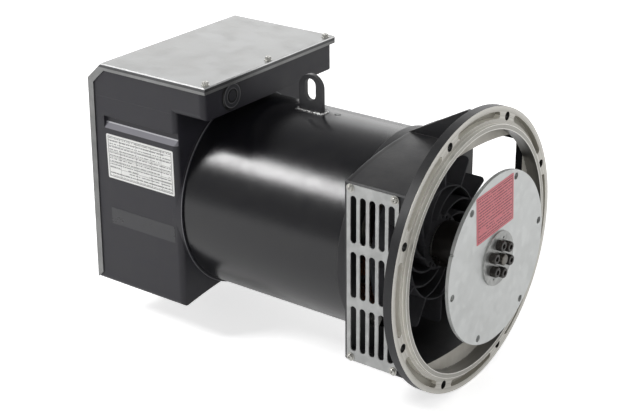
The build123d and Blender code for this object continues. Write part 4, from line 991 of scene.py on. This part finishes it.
@dataclass
class SubAssembly:
    """A group of pieces that are built and dressed together."""

    frame: dict[str, object]
    stock: Stock
    looks: ClassVar[Looks] = {}

    def build(self) -> None:
        """Build the pieces that Blender makes."""

    def dress(self) -> None:
        """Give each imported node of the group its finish."""
        for look, nodes in self.looks.items():
            for node in nodes:
                for slot in self.frame["nodes"][node].material_slots:
                    slot.material = self.stock.get(look)
                LOG.info("dressed %s with %s", node, look.name)

    def piece(
        self, name: str, mesh: Mesh, look: Look, slot: Slot, body: Body = Body.HOUSING,
        crease: float = 32.0,
    ) -> bpy.types.Object:
        """Turn a mesh into a finished piece that rides on a body.

        Args:
            name: The piece's name.
            mesh: Its mesh, freed here.
            look: Its finish.
            slot: The record's slot named for the piece; not used.
            body: The body it rides on.
            crease: Angle in degrees above which an edge stays sharp.

        Returns:
            The piece.
        """
        bmesh.ops.recalc_face_normals(mesh, faces=mesh.faces)
        piece = make_object(name, mesh, self.stock.get(look))
        piece.data.shade_smooth()
        piece.data.set_sharp_from_angle(angle=math.radians(crease))
        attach(piece, body.value)
        LOG.info("made %s", name)
        return piece


# ---- sub-assemblies ----


@dataclass
class DriveEnd(SubAssembly):
    """Flanged bracket with its side grille. Sizes are in millimetres."""

    grille_x: float = -54.6
    screw_pitch_x: float = 61.0
    screw_pitch_z: float = 218.0
    screw_seat_y: float = -139.3
    head: tuple[Level, ...] = (
        Level(3.9, 0.0), Level(4.0, 0.3), Level(3.95, 1.1), Level(3.5, 1.9), Level(2.6, 2.45),
        Level(2.1, 2.58), Level(2.0, 2.5, Outline.CROSS), Level(1.5, 0.9, Outline.CROSS),
    )
    looks: ClassVar[Looks] = {
        Look.BRACKET_CASTING: ("drive_end_bracket",),
        Look.GALVANISED: ("side_grille",),
        Look.BRIGHT_STEEL: ("grille_washers",),
    }

    def build(self) -> None:
        """Make the four pan-head screws of the grille."""
        mesh = bmesh.new()
        for number, (side, up) in enumerate(((-1, -1), (1, -1), (-1, 1), (1, 1))):
            x = self.grille_x + side * self.screw_pitch_x / 2
            z = up * self.screw_pitch_z / 2
            place = facing((x, self.screw_seat_y, z), (0, -1, 0), 0.5 + 0.9 * number)
            add_head(mesh, self.head, place)
        screws = self.piece("grille_screw_heads", mesh, Look.BRIGHT_STEEL, Slot.STEEL)
        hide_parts("grille_screws")


@dataclass
class StatorFrame(SubAssembly):
    """Stator tube with its lifting eye. Sizes are in millimetres."""

    tube_radius: float = 128.9
    eye_x: float = -244.0
    eye_half_width: float = 18.0
    eye_half_thickness: float = 3.0
    bead_radius: float = 2.5
    bead_pitch: float = 2.3
    bead_rise: float = 0.35
    bead_shape: Triple = (0.85, 1.0, 0.72)
    looks: ClassVar[Looks] = {
        Look.TUBE_PAINT: ("stator_tube",),
        Look.EYE_PAINT: ("lifting_eye",),
    }

    def weld_path(self) -> list[Pair]:
        """X and Y of points round the eye's foot, one for each ripple of the weld."""
        reach = self.eye_half_thickness + self.bead_radius * 0.75
        end = self.eye_half_width + self.bead_radius * 0.6
        steps = int(2 * end / self.bead_pitch)
        along = [-end + 2 * end * step / steps for step in range(steps + 1)]
        near = [(self.eye_x + place, -reach) for place in along]
        far = [(self.eye_x - place, reach) for place in along]
        tip, rise = end + 0.6, reach * 0.35
        front = [(self.eye_x + tip, -rise), (self.eye_x + tip, rise)]
        back = [(self.eye_x - tip, rise), (self.eye_x - tip, -rise)]
        return near + front + far + back

    def build(self) -> None:
        """Lay the rippled weld bead round the eye's foot."""
        mesh = bmesh.new()
        shape = Matrix.Diagonal((*self.bead_shape, 1.0))
        for number, (x, y) in enumerate(self.weld_path()):
            sway = math.sin(number * 2.4)
            top = math.sqrt(self.tube_radius**2 - y**2)
            size = self.bead_radius * (1.0 + 0.12 * sway)
            lean = Matrix.Rotation(0.25 * math.sin(number * 1.7), 4, "Y")
            spot = Matrix.Translation(Vector((x, y + 0.25 * sway, top + self.bead_rise)) * MM)
            bmesh.ops.create_icosphere(
                mesh, subdivisions=3, radius=size * MM, matrix=spot @ lean @ shape
            )
        weld = self.piece("eye_weld_bead", mesh, Look.WELD_BEAD, Slot.STEEL, crease=60.0)
        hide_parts("eye_weld")


@dataclass
class RearBox(SubAssembly):
    """Rear shield, terminal box and sheet cover. Sizes are in millimetres."""

    cover_top: float = 183.0
    front_screw_x: float = -313.0
    screw_offset: float = 122.0
    foot: Pair = (-510.7, -125.0)
    bend: Pair = (-504.0, 159.6)
    back_screws: Pair = (12.0, 262.0)
    screw_points: int = 48
    side_y: float = -131.4
    band_x: Pair = (-478.0, -366.5)
    band_z: Pair = (-38.5, -15.5)
    band_corner: float = 1.5
    band_thickness: float = 0.18
    head: tuple[Level, ...] = (
        Level(5.1, 0.0), Level(5.2, 0.15), Level(5.1, 0.6), Level(4.3, 1.0),
        Level(3.5, 1.05, Outline.HEXAGON), Level(3.5, 4.0, Outline.HEXAGON), Level(3.35, 4.45),
        Level(2.9, 4.58), Level(2.3, 4.5), Level(2.1, 4.45, Outline.CROSS),
        Level(1.5, 2.6, Outline.CROSS),
    )
    looks: ClassVar[Looks] = {
        Look.SHIELD_CASTING: ("rear_shield", "terminal_box", "bearing_carrier"),
        Look.COVER_SHEET: ("sheet_cover",),
        Look.KNOCKOUT: ("knockout_plug",),
        Look.PLATE: ("data_plate",),
        Look.BOARD: ("terminal_board",),
        Look.BRASS: ("terminal_studs", "terminal_nuts"),
        Look.POTTING: ("voltage_regulator",),
        Look.BRIGHT_STEEL: ("box_screws",),
        Look.RUBBER: ("lead_grommet",),
    }

    def build(self) -> None:
        """Make the cover's screws and the blank band under the plate."""
        mesh = bmesh.new()
        for number, step in enumerate((-1, 0, 1)):
            spot = (self.front_screw_x, step * self.screw_offset, self.cover_top)
            add_head(mesh, self.head, facing(spot, (0, 0, 1), 0.4 + number), self.screw_points)
        foot = Vector((self.foot[0], 0, self.foot[1]))
        upward = (Vector((self.bend[0], 0, self.bend[1])) - foot).normalized()
        outward = Vector((-upward.z, 0, upward.x))
        for number, (side, rise) in enumerate(((-1, 0), (1, 0), (-1, 1), (1, 1))):
            across = Vector((0, side * self.screw_offset, 0))
            spot = foot + upward * self.back_screws[rise] + across
            add_head(mesh, self.head, facing(spot, outward, 0.2 + 1.3 * number), self.screw_points)
        screws = self.piece("cover_screw_heads", mesh, Look.BRIGHT_STEEL, Slot.STEEL)
        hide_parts("cover_screws")
        self.build_band()

    def build_band(self) -> None:
        """Make the thin dark band, left blank, with rounded corners."""
        mesh = bmesh.new()
        corner = self.band_corner
        outline = []
        for x, z, start in ((1, 1, 0), (0, 1, 90), (0, 0, 180), (1, 0, 270)):
            middle_x = self.band_x[x] + (-corner if x else corner)
            middle_z = self.band_z[z] + (-corner if z else corner)
            for step in range(7):
                angle = math.radians(start + 15 * step)
                along, up = corner * math.cos(angle), corner * math.sin(angle)
                outline.append((middle_x + along, middle_z + up))
        sides = (self.side_y, self.side_y - self.band_thickness)
        close_rings(mesh, [[Vector((x, y, z)) * MM for x, z in outline] for y in sides])
        self.piece("blank_band", mesh, Look.BLANK_BAND, Slot.PLASTIC)


@dataclass
class Coupling(SubAssembly):
    """Hub, flexible discs, clamp ring and their screws. Sizes are in millimetres."""

    clamp_face: float = 32.7
    screw_circle: float = 18.5
    screw_count: int = 6
    screw_start: float = 37.8
    head: tuple[Level, ...] = (
        Level(6.2, 0.0), Level(6.48, 0.35, Outline.KNURL), Level(6.48, 6.7, Outline.KNURL),
        Level(6.2, 7.1), Level(5.9, 7.8), Level(5.5, 7.98), Level(3.25, 7.98),
        Level(3.0, 7.7, Outline.HEXAGON), Level(3.0, 3.6, Outline.HEXAGON), Level(1.2, 2.9),
    )
    looks: ClassVar[Looks] = {
        Look.BLACK_OXIDE: ("coupling_hub",),
        Look.DISC_STEEL: ("drive_discs",),
        Look.CLAMP_STEEL: ("clamp_ring",),
        Look.BOLT_STEEL: ("center_bolt",),
        Look.LABEL: ("disc_label",),
    }

    def build(self) -> None:
        """Make the six knurled socket-head screws."""
        mesh = bmesh.new()
        for number in range(self.screw_count):
            angle = math.radians(self.screw_start + 360 * number / self.screw_count)
            y = self.screw_circle * math.cos(angle)
            z = self.screw_circle * math.sin(angle)
            add_head(mesh, self.head, facing((self.clamp_face, y, z), (1, 0, 0), 0.7 * number))
        screws = self.piece(
            "hub_screw_heads", mesh, Look.BLACK_OXIDE, Slot.OXIDE, Body.ROTOR, 24.0
        )
        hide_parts("hub_screws")


@dataclass
class Electrics(SubAssembly):
    """Cores, windings, exciter and rectifier."""

    looks: ClassVar[Looks] = {
        Look.LAMINATIONS: ("stator_core", "exciter_stator", "rotor_core", "exciter_rotor"),
        Look.COPPER: ("stator_winding", "exciter_coils", "rotor_winding", "exciter_rotor_winding"),
        Look.DIODE_PLATE: ("rectifier_plate",),
        Look.BRIGHT_STEEL: ("rectifier_diodes",),
    }


@dataclass
class ShaftTrain(SubAssembly):
    """Shaft, fan, rear bearing and the rods that tie the ends together."""

    looks: ClassVar[Looks] = {
        Look.TURNED_STEEL: ("shaft", "bearing_outer_race", "bearing_inner_race", "bearing_balls"),
        Look.BLACK_PLASTIC: ("fan",),
        Look.BRIGHT_STEEL: ("tie_rods",),
        Look.BRASS: ("bearing_cage",),
        Look.BLACK_OXIDE: ("bearing_circlip",),
    }


# ---- studio ----


@dataclass(frozen=True)
class Softbox:
    """A rectangular lamp; its level is the brightness of its face, where 1 is white."""

    name: str
    aim: Triple
    direction: Triple
    distance: float
    width: float
    height: float
    level: float
    upward: Triple = (0.0, 0.0, 1.0)

    def build(self) -> None:
        """Hang the lamp and turn it to its aim."""
        lamp = bpy.data.lights.new(self.name, "AREA")
        lamp.shape = "RECTANGLE"
        lamp.size = self.width
        lamp.size_y = self.height
        lamp.energy = self.level * math.pi * self.width * self.height
        away = Vector(self.direction).normalized()
        up = Vector(self.upward)
        up = (up - away * up.dot(away)).normalized()
        turn = Matrix((up.cross(away), up, away)).transposed().to_4x4()
        holder = link(bpy.data.objects.new(self.name, lamp))
        holder.matrix_world = Matrix.Translation(Vector(self.aim) + away * self.distance) @ turn


@dataclass(frozen=True)
class Viewpoint:
    """The camera: angles in degrees, lens in millimetres, place in metres."""

    azimuth: float = 37.37718
    elevation: float = 23.33095
    roll: float = -0.69791
    place: Triple = (0.82976957, -1.41217005, 0.762774)
    lens: float = 86.726
    sensor: float = 36.0
    clip_end: float = 100.0

    def build(self) -> None:
        """Set up the camera."""
        angles = (self.azimuth, self.elevation, self.roll)
        side, rise, turn = (math.radians(angle) for angle in angles)
        flat = math.cos(rise)
        back = Vector((math.sin(side) * flat, -math.cos(side) * flat, math.sin(rise)))
        level_right = Vector((0, 0, 1)).cross(back).normalized()
        level_up = back.cross(level_right)
        right = level_right * math.cos(turn) + level_up * math.sin(turn)
        up = level_up * math.cos(turn) - level_right * math.sin(turn)
        data = bpy.data.cameras.new("view")
        data.sensor_fit = "HORIZONTAL"
        data.sensor_width = self.sensor
        data.lens = self.lens
        data.clip_end = self.clip_end
        camera = link(bpy.data.objects.new("view", data))
        axes = Matrix((right, up, back)).transposed().to_4x4()
        camera.matrix_world = Matrix.Translation(Vector(self.place)) @ axes
        bpy.context.scene.camera = camera


@dataclass
class Studio:
    """Pale floor, white surroundings, soft lamps and the camera."""

    floor_z: float = -0.1782
    floor_size: float = 30.0
    floor_glow: float = 0.62
    floor_gloss: float = 0.3
    room: float = 0.42
    ceiling: float = 0.3
    backdrop: Triple = (-0.5, 0.86, 0.0)
    softboxes: tuple[Softbox, ...] = (
        Softbox(
            "strip", (-0.23, -0.08, 0.09), (-0.588, -0.503, 0.634), 2.5, 0.75, 0.62, 24.0,
            (0.0, -0.783, -0.621),
        ),
        Softbox("front", (0.0, 0.0, 0.0), (0.80, -0.30, 0.52), 2.6, 1.5, 1.3, 2.1),
        Softbox("top", (-0.2, 0.0, 0.1), (0.25, 0.10, 0.96), 2.4, 1.4, 1.4, 1.2, (0.0, 1.0, 0.0)),
        Softbox("sweep", (-0.2, 0.0, 0.1), (-0.55, 0.78, 0.30), 3.0, 3.2, 1.5, 1.0),
    )

    def build(self) -> None:
        """Set up the floor, the world, the lamps and the camera."""
        self.build_floor()
        self.build_world()
        for softbox in self.softboxes:
            softbox.build()
        Viewpoint().build()
        LOG.info("made the studio")

    def glow(self, graph: Graph) -> Field:
        """Give the floor's added brightness: most to the camera, less to a mirror or glass."""
        rays = graph.node("LightPath").outputs
        camera, mirror, glass = (
            Field(graph, rays[f"Is {kind} Ray"]) for kind in ("Camera", "Glossy", "Transmission")
        )
        return camera * self.floor_glow | (mirror | glass) * self.floor_gloss

    def build_floor(self) -> None:
        """Lay the white floor, which glows faintly but keeps the shadow."""
        material = bpy.data.materials.new("floor")
        material.use_nodes = True
        graph = Graph(material.node_tree)
        place = graph.field("TexCoord", "Object")
        speck = graph.noise(place, 3.0).remap(0.3, 0.7, 0.9, 0.94)
        matt = graph.field("BsdfDiffuse", 0, {"Color": graph.vector(speck, speck, speck)})
        glow = graph.field("Emission", 0, {"Color": WHITE, "Strength": self.glow(graph)})
        both = graph.field("AddShader", 0, {0: matt, 1: glow})
        graph.node("OutputMaterial", {"Surface": both})
        mesh = bmesh.new()
        bmesh.ops.create_grid(mesh, x_segments=4, y_segments=4, size=self.floor_size / 2)
        floor = make_object("floor", mesh, material)
        floor.location = (0.0, 0.0, self.floor_z)

    def build_world(self) -> None:
        """Surround the head with white behind it and a dimmer room before it."""
        world = bpy.data.worlds.new("studio")
        world.use_nodes = True
        graph = Graph(world.node_tree)
        direction = graph.field("TexCoord", "Generated")
        behind = graph.vectors("DOT_PRODUCT", "Value", direction, self.backdrop)
        above = graph.axes(direction)[2].remap(0.45, 0.8, 1.0, self.ceiling)
        level = behind.remap(-0.1, 0.5, self.room, 1.0) * above
        room = {"Color": graph.vector(level, level, level), "Strength": 1.0}
        around = graph.field("Background", 0, room)
        white = graph.field("Background", 0, {"Color": WHITE, "Strength": 1.0})
        camera = graph.field("LightPath", "Is Camera Ray")
        both = graph.field("MixShader", 0, {0: camera, 1: around, 2: white})
        graph.node("OutputWorld", {"Surface": both})
        bpy.context.scene.world = world
        bpy.context.scene.view_settings.view_transform = "Standard"


def main() -> None:
    """Load the frame, build and dress every group."""
    logging.basicConfig(level=logging.INFO, format="%(message)s")
    for leftover in list(bpy.data.objects):
        bpy.data.objects.remove(leftover)
    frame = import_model()
    Studio().build()
    stock = Stock()
    for group in (DriveEnd, StatorFrame, RearBox, Coupling, ShaftTrain, Electrics):
        assembly = group(frame, stock)
        assembly.build()
        assembly.dress()


if __name__ == "__main__":
    main()
